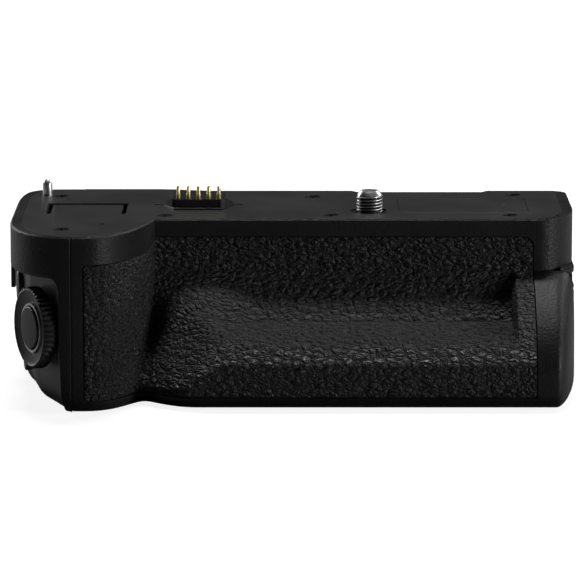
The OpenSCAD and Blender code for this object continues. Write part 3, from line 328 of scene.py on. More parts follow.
def pebble_group():
    """Leather grain: domed cells of a warped Voronoi net, longer than they are high and cut apart by
    creases along the net, with finer wrinkles on top. Its crease output is the mask of a painted shade in
    the creases."""
    inputs = [("Vector", "NodeSocketVector", None), ("Cells", "NodeSocketFloat", 620.0)]
    g, i, o = group("pebble_grain", inputs, ["Height", "Crease_shade", "Tone"])
    warp = noise(g, i.outputs["Vector"], 500.0, 3.0, 0.6)
    shift = g.nodes.new("ShaderNodeVectorMath")
    shift.operation = "MULTIPLY_ADD"
    shift.inputs[1].default_value = (0.0016, 0.0016, 0.0016)
    g.links.new(warp.outputs["Color"], shift.inputs[0])
    g.links.new(i.outputs["Vector"], shift.inputs[2])
    press = g.nodes.new("ShaderNodeVectorMath")
    press.operation = "MULTIPLY"
    press.inputs[1].default_value = (0.78, 1.0, 1.25)
    g.links.new(shift.outputs[0], press.inputs[0])

    def net(feature, k):
        """Voronoi net of the pressed vector, k times as fine as the cells."""
        v = g.nodes.new("ShaderNodeTexVoronoi")
        v.feature = feature
        g.links.new(press.outputs[0], v.inputs["Vector"])
        g.links.new(math_node(g, "MULTIPLY", i.outputs["Cells"], k), v.inputs["Scale"])
        return v

    dome = net("F1", 1.0)
    crease = ramp(g, net("DISTANCE_TO_EDGE", 1.0).outputs["Distance"], 0.0, 0.32)
    small = ramp(g, net("DISTANCE_TO_EDGE", 2.1).outputs["Distance"], 0.0, 0.3)
    fine = noise(g, i.outputs["Vector"], 2600.0, 3.0, 0.6)
    round_top = math_node(g, "SUBTRACT", 1.0, math_node(g, "POWER", dome.outputs["Distance"], 1.6))
    height = math_node(g, "MULTIPLY", round_top, 0.75)
    for part, share in ((crease, 0.45), (small, 0.28), (fine.outputs["Fac"], 0.35)):
        height = math_node(g, "ADD", height, math_node(g, "MULTIPLY", part, share))
    g.links.new(height, o.inputs["Height"])
    g.links.new(math_node(g, "SUBTRACT", 1.0, crease, clamp=True), o.inputs["Crease_shade"])
    split = g.nodes.new("ShaderNodeSeparateColor")
    g.links.new(dome.outputs["Color"], split.inputs[0])
    g.links.new(split.outputs[0], o.inputs["Tone"])
    return g


def texture_group():
    """Moulded texture: a fine noise for its height, a slow noise for uneven handling, and specks of
    dust in some of its patches."""
    inputs = [("Vector", "NodeSocketVector", None), ("Fineness", "NodeSocketFloat", 2600.0),
              ("Patches", "NodeSocketFloat", 45.0)]
    g, i, o = group("moulded_texture", inputs, ["Height", "Handling", "Dust"])
    fine = noise(g, i.outputs["Vector"], i.outputs["Fineness"], 3.0, 0.6)
    slow = noise(g, i.outputs["Vector"], i.outputs["Patches"], 4.0, 0.55)
    g.links.new(fine.outputs["Fac"], o.inputs["Height"])
    g.links.new(ramp(g, slow.outputs["Fac"], 0.3, 0.7), o.inputs["Handling"])
    spot = g.nodes.new("ShaderNodeTexVoronoi")
    spot.inputs["Scale"].default_value = 190.0
    g.links.new(i.outputs["Vector"], spot.inputs["Vector"])
    near = ramp(g, spot.outputs["Distance"], 0.05, 0.02)
    patch = ramp(g, slow.outputs["Fac"], 0.52, 0.62)
    g.links.new(math_node(g, "MULTIPLY", near, patch), o.inputs["Dust"])
    return g


def turning_group():
    """Turning marks: a sine of the height, broken by a noise, and a slow noise for the tone."""
    inputs = [("Vector", "NodeSocketVector", None), ("Pitch", "NodeSocketFloat", 9000.0)]
    g, i, o = group("turning_marks", inputs, ["Height", "Tone"])
    split = g.nodes.new("ShaderNodeSeparateXYZ")
    g.links.new(i.outputs["Vector"], split.inputs[0])
    jitter = noise(g, i.outputs["Vector"], 700.0, 3.0)
    turns = math_node(g, "MULTIPLY", split.outputs["Z"], i.outputs["Pitch"])
    turns = math_node(g, "ADD", turns, math_node(g, "MULTIPLY", jitter.outputs["Fac"], 9.0))
    wave = math_node(g, "MULTIPLY_ADD", math_node(g, "SINE", turns), 0.5, 0.5)
    g.links.new(wave, o.inputs["Height"])
    slow = noise(g, i.outputs["Vector"], 320.0, 3.0)
    g.links.new(slow.outputs["Fac"], o.inputs["Tone"])
    return g


PEBBLE, TEXTURE, TURNING = pebble_group(), texture_group(), turning_group()


class Finish:
    """Material with one Principled shader and its texture coordinate."""

    def __init__(self, name, **values):
        self.material = bpy.data.materials.new(name)
        self.material.use_nodes = True
        self.tree = self.material.node_tree
        self.shader = self.tree.nodes["Principled BSDF"]
        self.at = self.tree.nodes.new("ShaderNodeTexCoord").outputs["Object"]
        for key, value in values.items():
            self.shader.inputs[key].default_value = value

    def use(self, g, **values):
        """Outputs of a node group read at the texture coordinate."""
        n = self.tree.nodes.new("ShaderNodeGroup")
        n.node_tree = g
        self.tree.links.new(self.at, n.inputs["Vector"])
        for key, value in values.items():
            n.inputs[key].default_value = value
        return n.outputs

    def mix(self, factor, a, b):
        """Colour between a and b, each a tuple or a socket. The colour sockets are 6 and 7, out 2."""
        n = self.tree.nodes.new("ShaderNodeMix")
        n.data_type = "RGBA"
        self.tree.links.new(factor, n.inputs["Factor"])
        for k, v in ((6, a), (7, b)):
            if isinstance(v, tuple):
                n.inputs[k].default_value = (*v, 1)
            else:
                self.tree.links.new(v, n.inputs[k])
        return n.outputs[2]

    def span(self, factor, low, high):
        """Value that runs from low to high with the factor."""
        n = self.tree.nodes.new("ShaderNodeMapRange")
        n.inputs["To Min"].default_value = low
        n.inputs["To Max"].default_value = high
        self.tree.links.new(factor, n.inputs["Value"])
        return n.outputs["Result"]

    def mark(self):
        """Shade that the mesh carries at its points."""
        n = self.tree.nodes.new("ShaderNodeAttribute")
        n.attribute_name = "painted_shade"
        return n.outputs["Fac"]

    def set(self, socket, value):
        """Link into the shader."""
        self.tree.links.new(value, self.shader.inputs[socket])

    def bump(self, height, depth):
        """Normal of a height at full strength."""
        n = self.tree.nodes.new("ShaderNodeBump")
        n.inputs["Distance"].default_value = depth
        n.inputs["Strength"].default_value = 1.0
        self.tree.links.new(height, n.inputs["Height"])
        return n.outputs["Normal"]


def moulded(name, dark, light, rough, fineness=2600.0, depth=0.00003, spec=0.35, dust=0.06):
    """Moulded plastic or rubber: two greys by handling, specks of dust, roughness by texture and
    handling, and a fine bump."""
    f = Finish(name, **{"Specular IOR Level": spec})
    t = f.use(TEXTURE, Fineness=fineness)
    grey = f.mix(t["Handling"], dark, light)
    f.set("Base Color", f.mix(f.span(t["Dust"], 0.0, dust), grey, (0.3, 0.29, 0.28)))
    mixed = math_node(f.tree, "MULTIPLY", math_node(f.tree, "ADD", t["Handling"], t["Height"]), 0.5)
    f.set("Roughness", f.span(mixed, rough[0], rough[1]))
    f.set("Normal", f.bump(t["Height"], depth))
    return f.material


def metal(name, dark, light, rough, pitch=9000.0, depth=0.000006, shade=None):
    """Turned metal: two tones by a slow noise, and fine turning marks in roughness and bump. Points
    marked with painted shade take the shade colour."""
    f = Finish(name, Metallic=1.0)
    t = f.use(TURNING, Pitch=pitch)
    tone = f.mix(t["Tone"], dark, light)
    f.set("Base Color", f.mix(f.mark(), tone, shade) if shade else tone)
    f.set("Roughness", f.span(t["Tone"], rough[0], rough[1]))
    f.set("Normal", f.bump(t["Height"], depth))
    return f.material


def grained(name, dark, light, cells, depth, rough, spec):
    """Grained cover: painted shade in the net of creases and on marked points, lighter on the pebbles,
    with a bump of the grain.
    """
    f = Finish(name, **{"Specular IOR Level": spec})
    p = f.use(PEBBLE, Cells=cells)
    t = f.use(TEXTURE, Fineness=1900.0)
    tone = math_node(f.tree, "MULTIPLY", math_node(f.tree, "ADD", p["Tone"], t["Handling"]), 0.5)
    grey = f.mix(tone, dark, light)
    # Painted shade: the base colour falls to near black in the creases of the grain and on points marked
    # with painted shade
    low = math_node(f.tree, "MAXIMUM", math_node(f.tree, "MULTIPLY", p["Crease_shade"], 0.8), f.mark())
    f.set("Base Color", f.mix(low, grey, (0.0015, 0.0015, 0.0015)))
    worn = math_node(f.tree, "MAXIMUM", low, math_node(f.tree, "MULTIPLY", t["Handling"], 0.2))
    f.set("Roughness", f.span(worn, rough[0], rough[1]))
    f.set("Normal", f.bump(p["Height"], depth))
    return f.material


shell = moulded("shell_plastic", (0.006, 0.006, 0.0062), (0.009, 0.009, 0.0094), (0.34, 0.6),
                1500.0, 0.00016, 0.2)
pad = moulded("control_pad_plastic", (0.014, 0.014, 0.0145), (0.019, 0.019, 0.0195), (0.32, 0.44),
              3800.0, 0.000012, 0.25)
seat = moulded("seat_paint", (0.021, 0.021, 0.0215), (0.026, 0.026, 0.0265), (0.34, 0.46),
               3400.0, 0.00001, 0.25, 0.1)
leather = grained("grained_cover", (0.004, 0.004, 0.004), (0.008, 0.008, 0.008), 620.0, 0.001,
                  (0.28, 0.9), 0.45)
thumb_grain = grained("thumb_grain", (0.008, 0.008, 0.008), (0.014, 0.014, 0.014), 900.0, 0.0004,
                      (0.4, 0.9), 0.3)
rubber = moulded("rubber", (0.012, 0.012, 0.012), (0.018, 0.018, 0.018), (0.65, 0.8),
                 1800.0, 0.00004, 0.2)
control = moulded("control_plastic", (0.011, 0.011, 0.0115), (0.016, 0.016, 0.0165), (0.30, 0.44),
                  4200.0, 0.00001, 0.25)
block = moulded("connector_plastic", (0.007, 0.007, 0.007), (0.010, 0.010, 0.010), (0.32, 0.46),
                3200.0, 0.000012, 0.3)
liner = moulded("bay_liner", (0.022, 0.022, 0.023), (0.032, 0.032, 0.033), (0.4, 0.55),
                2200.0, 0.00002)
catch = moulded("catch_plastic", (0.62, 0.20, 0.03), (0.72, 0.27, 0.05), (0.28, 0.4),
                2600.0, 0.00001)
board = moulded("board_laminate", (0.03, 0.13, 0.06), (0.05, 0.18, 0.09), (0.3, 0.45),
                1500.0, 0.00001)
steel = metal("turned_steel", (0.5, 0.5, 0.505), (0.66, 0.66, 0.665), (0.28, 0.42),
              shade=(0.03, 0.03, 0.03))
cast = metal("cast_frame", (0.45, 0.45, 0.47), (0.6, 0.6, 0.62), (0.4, 0.55), 2500.0)
gold = metal("gold_plating", (0.72, 0.62, 0.32), (0.86, 0.78, 0.5), (0.26, 0.4),
             shade=(0.3, 0.24, 0.03))
black_steel = metal("blackened_steel", (0.03, 0.03, 0.032), (0.055, 0.055, 0.058), (0.3, 0.45))


# Front shell

def front_shell():
    """Wall between the skin and its offset, on stations along u and rows down z that lie close along the
    edges of the grained cover. It sinks under the cover, its top is a small chamfer, and the edge
    at the parting seam is eased."""
    near = np.array([-0.9, -0.45, -0.2, -0.1, -0.03, 0.04, 0.12, 0.3])
    u = np.unique(np.concatenate([
        SEAM + np.array([*SEAM_STEPS, 0.7, 1.3]), COVER_X0 + near,
        CREST + COLUMN_RIGHT * np.sin(np.linspace(0.09, math.pi / 2, 44)),
        np.linspace(CREASE + 0.3, COVER_X1 - 3, 60), np.arange(COVER_X1 - 2.9, COVER_X1 - 0.1, 0.14),
        COVER_X1 + np.array([-0.03, 0, 0.01, 0.02, 0.04, 0.08, 0.15, 0.3, 0.6]),
        COVER_X1 + 1 + np.linspace(0, 1, 32)]))[:, None]
    level, top = 0 * u, cover_line(u)
    rows = [level - TOP_EASE + TOP_EASE * np.sin(a) for a in np.radians(np.linspace(90, 0, 6))]
    rows += [level + REBATE_TOP, level + REBATE_LOW]
    rows += [REBATE_LOW + (top + 0.9 - REBATE_LOW) * k for k in (0.33, 0.66)]
    rows += [top - d for d in near] + [top - d for d in np.arange(0.45, 2.9, 0.16)]
    rows += [top - 2.9 + (-COLLAR + 0.6 - top + 2.9) * k for k in (0.25, 0.5, 0.75)]
    rows += [level - COLLAR + d for d in np.linspace(0.5, -0.5, 15)]
    rows += [level + z for z in np.linspace(-COLLAR - 1, COVER_LOW + 1, 30)]
    rows += [level + COVER_LOW - d for d in near[1:]]
    rows += [level + ZB + EDGE_R * (1 - np.sin(a)) for a in np.radians(np.linspace(44, 90, 12))]
    z = np.concatenate(rows, 1)
    u = u + 0 * z
    chamfer = 0.95 * np.clip(z + TOP_EASE, 0, TOP_EASE)
    ease = SEAM_EASE * np.clip(1 - (u - SEAM) / SEAM_STEPS[-1], 0, 1) ** 2
    under = smooth((0.1 - cover_rim(u, z)) / 0.18)
    outer = sunk(u, z, chamfer + ease + under * COVER_BED)
    inner = sunk(u, z, np.where(z > REBATE_MID, LIP + 0.07, SHELL_WALL))
    return thick(outer, inner)


def front_grip_cover():
    """Wall between two offsets of the skin over the cover's outline, on columns and rows that lie close
    along the crease, the pocket's lip and the edges. Its edge is a small quarter round. Its edge band and
    the fold of the pocket carry a painted shade at the points."""
    tight = np.array([0, 0.05, 0.12, 0.22, COVER_ROUND, 0.6])
    corner = COVER_CORNER * np.sin(np.linspace(0, math.pi / 2, 26))
    u = np.unique(np.concatenate([
        COVER_X0 + COVER_GAP + tight, np.linspace(COVER_X0 + 1, CREASE - 1, 50),
        CREASE + np.linspace(-0.9, 0.9, 13), np.linspace(CREASE + 1.2, POCKET_X1 - 2.4, 160),
        POCKET_X1 + np.linspace(-2.2, 0.2, 26), np.linspace(POCKET_X1 + 0.4, COVER_X1 - 3, 8),
        COVER_X1 - COVER_CORNER - COVER_GAP + corner]))[:, None]
    lip = np.array([0, 0.05, 0.12, 0.2, 0.28, 0.36, 0.44, 0.6, 0.9])
    high = cover_top(np.minimum(u + COVER_GAP, COVER_X1)) - COVER_GAP
    mid, low = pocket_lip(u), COVER_LOW + COVER_GAP
    span = mid + 0.9 - (high - 0.75)
    rows = [high - d for d in tight]
    rows += [high - 0.75 + span * k for k in np.linspace(0, 1, 62)[:-1]]
    rows += [mid + d for d in lip[::-1]] + [mid - d for d in lip[1:4]]
    rows += [mid - 0.3 + (low + 0.7 - mid + 0.3) * k for k in np.linspace(0, 1, 60)]
    rows += [low + d + 0 * u for d in tight[::-1]]
    z = np.concatenate(rows, 1)
    u = u + 0 * z
    inside = np.minimum(np.minimum(u - COVER_X0, COVER_X1 - u), z - COVER_LOW)
    t = np.clip(np.minimum(inside, -cover_rim(u, z)) - COVER_GAP, 0, COVER_ROUND)
    rim = COVER_ROUND - np.sqrt(np.maximum(0, COVER_ROUND ** 2 - (COVER_ROUND - t) ** 2))
    shade = np.maximum(painted_shade(u, z), smooth(1 - t / 0.2))
    points, faces = thick(sunk(u, z, 0.9 * rim), sunk(u, z, COVER_T + 0 * z))
    return points, faces, np.stack([shade, shade])


# Control end

PAD_P = np.array([SEAM - PAD_EDGE, YF - float(column(np.array(SEAM - PAD_EDGE)))])
PAD_T = np.array([-math.sin(PAD_ANGLE), math.cos(PAD_ANGLE)])
PAD_N = np.array([-math.cos(PAD_ANGLE), -math.sin(PAD_ANGLE), 0])
PAD_Q = PAD_P + PAD_LENGTH * PAD_T
END_P = np.array([XL, YF + 13])
DIAL_C = np.array([*(PAD_P + 10 * PAD_T), -22.8])
END_V = (END_P - PAD_Q) / np.linalg.norm(END_P - PAD_Q)
END_N = np.array([-END_V[1], END_V[0], 0])
END_C = PAD_Q + 13 * END_V
REAR_LEFT = np.array([[XL, REST_Y - 17], [XL + 0.3, REST_Y - 11], [XL + 1.4, REST_Y - 5],
                      [XL + 3.2, REST_Y - 2.2], [XL + 5.6, REST_Y - 0.7], [XL + 9, REST_Y],
                      [SEAM, REST_Y]])


def taper(z):
    """Drawing in of the end towards the base: the square of the share of the depth below the collar."""
    return 3 * np.clip((-z - 12) / 30, 0, 1) ** 2


def along(points, n):
    """n points at even steps of length along a broken line."""
    d = np.concatenate([[0], np.cumsum(np.linalg.norm(np.diff(points, axis=0), axis=1))])
    s = np.linspace(0, d[-1], n)
    return np.stack([np.interp(s, d, points[:, 0]), np.interp(s, d, points[:, 1])], -1)


def rounded_turns(points, r, n=7):
    """Broken line with each inner corner cut to a quadratic curve r long on either side."""
    a, b, c = points[:-2], points[1:-1], points[2:]
    la, lc = np.linalg.norm(a - b, axis=1), np.linalg.norm(c - b, axis=1)
    ra, rc = np.minimum(r, 0.45 * la)[:, None], np.minimum(r, 0.45 * lc)[:, None]
    p, q = b + (a - b) / la[:, None] * ra, b + (c - b) / lc[:, None] * rc
    t = np.linspace(0, 1, n)[None, :, None]
    turns = (1 - t) ** 2 * p[:, None] + 2 * t * (1 - t) * b[:, None] + t ** 2 * q[:, None]
    return np.concatenate([points[:1], turns.reshape(-1, 2), points[-1:]])


def normals(line):
    """Unit normals of a line in plan: the tangent by differences, turned by a quarter."""
    t = np.gradient(line, axis=0)
    n = np.stack([t[:, 1], -t[:, 0]], -1)
    return n / np.linalg.norm(n, axis=1, keepdims=True)


def control_end_cover():
    """Outer and inner sheet of a wall between an outline that follows the collar above and the flat
    pads below it, joined by an overhanging edge, and the same outline moved inwards. The end
    tapers and is rounded at the base."""
    side_n, overhang, nook = 90, 0.6, 0.5
    x = SEAM - np.concatenate([SEAM_STEPS, np.linspace(0.8, PAD_EDGE, 8)])
    front = np.stack([x, YF - column(x)], -1)
    first = math.acos(((CREST - SEAM + PAD_EDGE) / COLUMN_LEFT) ** (COLUMN_BOW / 2))
    a = np.linspace(first, 0, 60)[1:]
    bow = np.stack([CREST - COLUMN_LEFT * np.cos(a) ** (2 / COLUMN_BOW),
                    YF - COLUMN_REACH * np.sin(a) ** (2 / COLUMN_BOW)], -1)
    flank = np.concatenate([front[-1:], bow, [[XL, YF + 6], END_P]])
    chord = rounded_turns(np.array([front[-1], PAD_Q, END_P]), 1.6, 11)
    rear = along(rounded_turns(np.concatenate([[END_P], REAR_LEFT]), 3.5), 60)[1:-1]
    parting = np.stack([SEAM - np.array(SEAM_STEPS[::-1]), np.full(len(SEAM_STEPS), REST_Y)], -1)
    over = np.concatenate([front, along(flank, side_n)[1:], rear, parting])
    under = np.concatenate([front, along(chord, side_n)[1:], rear, parting])
    n, k = len(front), len(over)
    span = np.arange(k)

    # Rows as height, inset and share of the lower outline
    f = np.radians(np.linspace(90, 0, 6))
    steps = [(-TOP_EASE * t, 0.38 * (1 - t), 0.0) for t in (0, 0.5, 1)]
    steps += [(z, 0.0, 0.0) for z in (-1.6, -1.75, -3.5, -5.5, -7.5, -9.0)]
    steps += [(-PAD_DROP + overhang - overhang * math.sin(t), overhang - overhang * math.cos(t), 0.0)
              for t in f[::-1]]
    steps += [(-PAD_DROP, overhang, s) for s in (0.35, 0.7, 0.93)]
    steps += [(-PAD_DROP - nook + nook * math.sin(t), 0.0, 1.0) for t in f]
    steps += [(z, 0.0, 1.0) for z in np.linspace(-11.2, ZB + EDGE_R + 0.4, 30)]
    steps += [(ZB + EDGE_R - EDGE_R * math.sin(t), 0.0, 1.0)
              for t in np.radians(np.linspace(0, 90, 14))]
    z, inset, lower = (np.array(c, float)[:, None] for c in zip(*steps))
    w = lower[..., None]

    # Outer sheet
    padded = smooth((span - n + 1) / 4) * smooth((n + side_n - 1 - span) / 4)
    inward = normals(over) * (1 - w) + normals(under) * w
    drawn = np.where(z > -PAD_DROP + 0.7, inset, inset * padded)
    sink = PAD_SINK * padded * lower * smooth((-PAD_DROP - z) / nook)
    ease = SEAM_EASE * np.clip(1 - np.minimum(span, k - 1 - span) / 3, 0, 1) ** 2
    rounding = (1 - 0.55 * smooth((span - n - 30) / 60)) * edge(z)
    outer = over * (1 - w) + under * w + inward * (drawn + sink + ease + rounding)[..., None]
    outer[..., 0] += taper(z) * np.clip((SEAM - outer[..., 0]) / 14, 0, 1)

    # Inner sheet, which leaves a thin lip round the seat plate
    inner = outer + END_WALL * inward
    inner[..., 0] = np.maximum(inner[..., 0], XL + 2.0)
    lip = over + np.stack([(RIM - LIP) * smooth((XL + 17 - over[:, 0]) / 17), 0 * span], -1)
    inner = np.where(z[..., None] > REBATE_MID, lip + 0.75 * normals(lip), inner)

    # Heights, lowered at the round upper corner of the pad
    s = np.clip((span - n + 1) * (PAD_LENGTH / 34), 0, PAD_CORNER)
    corner = PAD_CORNER - np.sqrt(PAD_CORNER ** 2 - (PAD_CORNER - s) ** 2)
    corner = np.where(span >= n - 1, corner, 0)
    drop = corner * np.interp(-z, [5.5, 9.4, 10.6, 20.0], [0.0, 1.0, 1.0, 0.0])
    sheets = []
    for p, h in ((outer, z - drop), (inner, np.maximum(z, ZB + 3.4) - drop)):
        p[..., 0] = np.minimum(p[..., 0], SEAM)
        close = np.stack([np.full(k, SEAM), p[-1, :, 1], h[-1]], -1)
        sheet = np.concatenate([np.concatenate([p, h[..., None]], -1), close[None]])
        sheets.append(sheet.transpose(1, 0, 2))
    return sheets


# Turned and ribbed pieces

def camera_screw():
    """Stud whose radius falls by a rounded wave of the height less the turn, which makes a thread, and
    closes on a chamfer and a flat top."""
    n, pitch, depth = 96, 0.75, 0.5
    thread_r, shank_r, chamfer_r, top_r = 3.175, 2.6, 2.75, 2.1
    a = np.linspace(0, 2 * math.pi, n, endpoint=False)
    z = np.concatenate([[-12.6, -12.6], np.linspace(-12.5, 0, 6), np.linspace(0.02, 3.76, 90),
                        [4.3, 5.0, 5.0]])[:, None]
    wave = 0.5 - 0.5 * np.cos(2 * math.pi * (z / pitch - a / (2 * math.pi)))
    groove = wave ** 1.3 * np.clip((3.9 - z) / 0.3, 0, 1)
    r = np.where(z <= 0, shank_r, thread_r - depth * groove)
    r = np.where(z > 4, np.where(z > 4.9, top_r, chamfer_r), r)
    r[0], r[-1] = 0, 0
    points = np.stack([r * np.cos(a), r * np.sin(a), z + 0 * a], -1).reshape(-1, 3)
    # Painted shade in the roots of the thread and over the shank below the seat
    marks = np.where(z > 0, smooth(1.4 * groove - 0.3), 1.0)
    return points, grid_faces(len(z), n, False, True), marks


def button_profile(r, foot, top, flange=None):
    """Profile of a push button: a straight side, an eased shoulder and a slightly crowned face, with a
    wider flange at its foot where one is given."""
    rim, crown, flange_t = 0.35, 0.18, 0.7
    t = np.radians(np.linspace(0, 90, 7))
    shoulder = np.stack([r - rim + rim * np.cos(t), top - crown - rim + rim * np.sin(t)], -1)
    s = np.linspace(1, 0, 7)[1:]
    face = np.stack([(r - rim) * s, top - crown * s ** 2], -1)
    start = [[0, foot], [r, foot]]
    if flange is not None:
        start = [[0, foot], [flange, foot], [flange, foot + flange_t], [r, foot + flange_t]]
    return np.concatenate([start, shoulder, face])


def knurled_ring(r, hole, low, high):
    """Closed profile of a ribbed ring: ribbed side up to a narrow plain edge, a dished face that falls
    towards the hole, and the hole."""
    edge_w = 0.75
    s = np.linspace(0, 1, 9)[:, None]
    dish = np.concatenate([r - edge_w - s * (r - edge_w - hole - 0.35), high - 0.75 * s ** 0.7,
                           0 * s], 1)
    side = [[hole, low, 0], [r - 0.5, low, 0], [r - 0.15, low + 0.12, 0.7], [r, low + 0.4, 1],
            [r, high - 0.45, 1], [r - 0.1, high - 0.25, 0.9], [r - 0.5, high - 0.06, 0.1]]
    return np.concatenate([side, dish, [[hole, high - 0.95, 0]]])


def crowned_pad(w, h, r, low, top):
    """Rounded rectangle carried from its foot over an eased edge to a crowned top, as rings that shrink
    to the middle."""
    n = 120
    a = np.linspace(0, 2 * math.pi, n, endpoint=False)
    c, s = np.cos(a), np.sin(a)
    ring = np.stack([np.sign(c) * (w / 2 - r) + r * c, np.sign(s) * (h / 2 - r) + r * s], -1)
    t = np.radians(np.linspace(0, 90, 8))[1:]
    shrink = np.linspace(0.92, 0, 12)
    scale = np.concatenate([[0, 1, 1], 1 - 0.06 * (1 - np.cos(t)), shrink])[:, None, None]
    height = np.concatenate([[low, low, top - 0.5], top - 0.5 + 0.3 * np.sin(t),
                             top - 0.2 * shrink ** 2])[:, None, None]
    points = np.concatenate([ring * scale, height + 0 * a[:, None]], -1)
    return points.reshape(-1, 3), grid_faces(len(scale), n, False, True)


def on_pad(p):
    """Local points set on the dial pad, the third axis outwards."""
    return stand(p, DIAL_C, (0, 0, -1), (math.sin(PAD_ANGLE), -math.cos(PAD_ANGLE), 0), PAD_N)


def on_end(p, z):
    """Local points set on the end face at height z, drawn in with its taper."""
    origin = np.array([END_C[0], END_C[1], z]) - END_N * float(taper(np.array(z)))
    return stand(p, origin, (0, 0, -1), np.cross(END_N, (0, 0, -1)), END_N)


def on_rear(p, x, z, y=REST_Y):
    """Local points set on the rear face, the third axis backwards."""
    return stand(p, (x, y, z), (1, 0, 0), (0, 0, -1), (0, 1, 0))


# Outer skin
place("front_shell_skin", *front_shell(), shell, "grip", "shell", ("front_shell",))
points, faces, marks = front_grip_cover()
place("grained_cover", points, faces, leather, "grip", "grain", ("front_grip_cover",), 45,
      marks=marks)
place("end_cover", *thick(*control_end_cover()), shell, "grip", "shell", ("control_end_cover",), 40,
      (pad, -PAD_DROP - 0.3, PAD_N))

# Fixing to the camera, profiles as radius and height
points, faces, marks = camera_screw()
place("mounting_stud", points, faces, steel, "stud", "steel", ("camera_screw",), 40, marks=marks)
guide = [[0, -5.1], [1.0, -5.1], [1.0, -0.02], [1.2, 0], [1.2, 3.0], [1.14, 3.15], [0.68, 3.8],
         [0.6, 3.85], [0, 3.85]]
points, faces = turned(guide, 48)
place("guide_pin", points + np.array([-78.72, 24.3, 0]), faces, steel, "grip", "steel",
      ("alignment_pin",))
tip = [[0, -4.7], [0.85, -4.7], [0.85, 2.15], [0.8, 2.2], [0.52, 2.2], [0.52, 3.4], [0.44, 3.5],
       [0.44, 4.95], [0.4, 5.12], [0.28, 5.25], [0.14, 5.29], [0, 5.3]]
points, faces = turned(tip, 32)
# The gold pins carry a painted shade below their tips, towards the connector block
for k in range(1, 6):
    at = np.array([CONTACT_X + (k - 3) * CONTACT_STEP, CONTACT_Y, 0])
    place(f"spring_contact_{k}", points + at, faces, gold, f"contact_{k}", "gold",
          (f"contact_pin_{k}",), marks=smooth((3.6 - points[:, 2]) / 0.5))

# Dials, buttons and thumb rest
points, faces = turned(knurled_ring(9.65, 5.8, 0.3, 3.3), 400, 50, 0.5, True)
place("front_control_dial", on_pad(points), faces, control, "dial", "control", ("front_dial",), 40)
points, faces = turned(button_profile(5.0, 1.9, 3.55), 72)
place("release_button", on_pad(points), faces, control, "shutter", "control", ("shutter_button",), 40)
points, faces = turned(button_profile(2.9, -5.9, 0.95, 3.6), 48)
for k, name in ((-1, "exposure"), (0, "sensitivity"), (1, "white_balance")):
    place(f"{name}_key", on_end(points, END_Z - k * END_STEP), faces, control, name, "control",
          (f"{name}_button",), 40)
wheel = [[1.05, -2.5, 0], [6.9, -2.5, 0], [7.6, -2.35, 0.6], [8, -2.0, 1], [8, 2.0, 1],
         [7.6, 2.35, 0.6], [6.9, 2.5, 0], [1.05, 2.5, 0]]
points, faces = turned(wheel, 352, 44, 0.45, True)
points = stand(points, (-76.97, 28.2, -16.5), (0, 0, -1), (0, 1, 0), (1, 0, 0))
place("rear_control_dial", points, faces, control, "thumb_dial", "control", ("rear_dial",), 40)
for name, x, z, r in (("focus", -62.52, -9.2, 3.3), ("menu", -52.52, -10.5, 2.7)):
    points, faces = turned(button_profile(r, -3.5, 0.85, r + 0.7), 48)
    place(f"{name}_key", on_rear(points, x, z), faces, control, name, "control",
          (f"{name}_button",), 40)
points, faces = crowned_pad(20, 9, 2, -0.55, 0.7)
place("thumb_rest", on_rear(points, -58.52, -33.0), faces, thumb_grain, "grip", "rubber",
      ("rear_thumb_pad",), 50)

# Solids carried over from the CAD model, those that show or move refined
for node, finish, body, slot, ease in (
        ("rear_shell", shell, "grip", "shell", 0.3),
        ("top_plate", seat, "grip", "seat", 0.15),
        ("bottom_cover", shell, "grip", "shell", 0.25),
        ("label_plate", seat, "grip", "seat", 0.08),
        ("cap_tray", seat, "grip", "liner", 0.12),
        ("contact_block", block, "grip", "block", 0.22),
        ("lock_switch", block, "control_lock", "control", 0.25),
        ("lock_wheel", control, "thumb_wheel", "control", 0.12),
        ("battery_door", shell, "door", "shell", 0.35),
        ("door_latch", control, "latch", "control", 0.3),
        ("joystick", rubber, "stick", "rubber", 0.25),
        ("battery_lock", catch, "battery_catch", "catch", 0.2),
        ("tripod_socket", steel, "grip", "steel", 0.2),
        ("battery_chamber", liner, "grip", "liner", 0.15)):
    refined(node, finish, body, slot, ease)
for finish, names in (
        (steel, "wheel_axle screw_gear rear_dial_axle joystick_gimbal door_hinge_pin"),
        (cast, "chassis dial_bushing joystick_base"),
        (board, "main_board control_board rear_board"),
        (block, "shutter_switch contact_carrier"),
        (rubber, "door_seal"),
        (gold, "battery_terminals"),
        (black_steel, "screw_bush top_screws bottom_screws rear_screws")):
    for name in names.split():
        obj = nodes[name]
        if not obj.material_slots:
            obj.data.materials.append(finish)
        for s in obj.material_slots:
            s.material = finish

# Studio
scene = bpy.context.scene
scene.view_settings.view_transform = "Standard"
half, level = 4, ZB * MM - 5e-5
mesh = bpy.data.meshes.new("floor")
mesh.from_pydata([(x, y, level) for x, y in ((-half, -half), (half, -half), (half, half), (-half, half))],
                 [], [(0, 1, 2, 3)])
floor = bpy.data.objects.new("floor", mesh)
scene.collection.objects.link(floor)

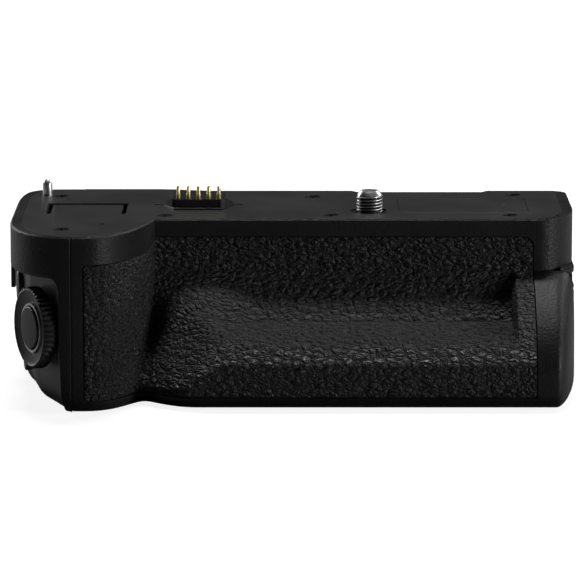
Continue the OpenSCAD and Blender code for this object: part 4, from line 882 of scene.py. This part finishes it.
# Floor paint: matt for light, bright for the camera, and graded by distance in reflections, a painted
# shade near the object
paint = bpy.data.materials.new("floor_paint")
paint.use_nodes = True
tree = paint.node_tree
tree.nodes.clear()
out = tree.nodes.new("ShaderNodeOutputMaterial")
matt = tree.nodes.new("ShaderNodeBsdfDiffuse")
matt.inputs["Color"].default_value = (0.3, 0.3, 0.3, 1)
glow = tree.nodes.new("ShaderNodeEmission")
both = tree.nodes.new("ShaderNodeAddShader")
rays = tree.nodes.new("ShaderNodeLightPath").outputs
mirrored = math_node(tree, "MAXIMUM", rays["Is Glossy Ray"], rays["Is Transmission Ray"])
far = tree.nodes.new("ShaderNodeVectorMath")
far.operation = "LENGTH"
tree.links.new(tree.nodes.new("ShaderNodeTexCoord").outputs["Object"], far.inputs[0])
graded = ramp(tree, far.outputs["Value"], 0.35, 1.1, 0.0, 0.85)
seen = math_node(tree, "MAXIMUM", math_node(tree, "MULTIPLY", rays["Is Camera Ray"], 0.86),
                 math_node(tree, "MULTIPLY", mirrored, graded))
tree.links.new(seen, glow.inputs["Strength"])
tree.links.new(matt.outputs[0], both.inputs[0])
tree.links.new(glow.outputs[0], both.inputs[1])
tree.links.new(both.outputs[0], out.inputs["Surface"])
mesh.materials.append(paint)

# World: dim, lighter upwards and to the rear
world = bpy.data.worlds.new("studio")
scene.world = world
world.use_nodes = True
tree = world.node_tree
split = tree.nodes.new("ShaderNodeSeparateXYZ")
tree.links.new(tree.nodes.new("ShaderNodeTexCoord").outputs["Generated"], split.inputs[0])
lift = math_node(tree, "ADD", split.outputs["Z"], math_node(tree, "MULTIPLY", split.outputs["Y"], 0.5))
tree.links.new(ramp(tree, lift, -0.2, 0.9, 0.02, 0.09), tree.nodes["Background"].inputs["Strength"])


def softbox(name, at, aim, size, power):
    """Rectangular area lamp at a point, turned towards another."""
    lamp = bpy.data.lights.new(name, "AREA")
    lamp.shape = "RECTANGLE"
    lamp.size, lamp.size_y = size
    lamp.energy = power
    obj = bpy.data.objects.new(name, lamp)
    d = np.array(aim) - np.array(at)
    d = d / np.linalg.norm(d)
    obj.location = at
    obj.rotation_euler = (math.acos(-d[2]), 0, math.atan2(-d[0], d[1]))
    scene.collection.objects.link(obj)


softbox("overhead", (-0.02, 0.24, 0.83), (-0.02, -0.015, -0.02), (0.4, 0.08), 6.5)
softbox("right_strip", (0.82, -0.36, 0.1), (0.03, 0, -0.02), (0.04, 0.5), 6.5)
softbox("right_side", (0.85, 0.1, 0.3), (-0.02, 0, -0.02), (0.25, 0.4), 0.7)
softbox("left_rear", (-0.6, 0.6, 0.25), (-0.06, 0, -0.02), (0.25, 0.4), 2.6)
softbox("rear_fill", (0.62, 0.55, 0.5), (-0.02, 0, -0.02), (0.3, 0.3), 2.0)

lens = bpy.data.cameras.new("camera")
lens.lens = 260.7
lens.sensor_width = 36
lens.clip_start = 0.05
camera = bpy.data.objects.new("camera", lens)
pitch, aim = math.radians(10.2), (-0.01912, -0.0125, -0.0171)
camera.location = (aim[0], aim[1] - math.cos(pitch), aim[2] + math.sin(pitch))
camera.rotation_euler = (math.pi / 2 - pitch, 0, 0)
scene.collection.objects.link(camera)
scene.camera = camera
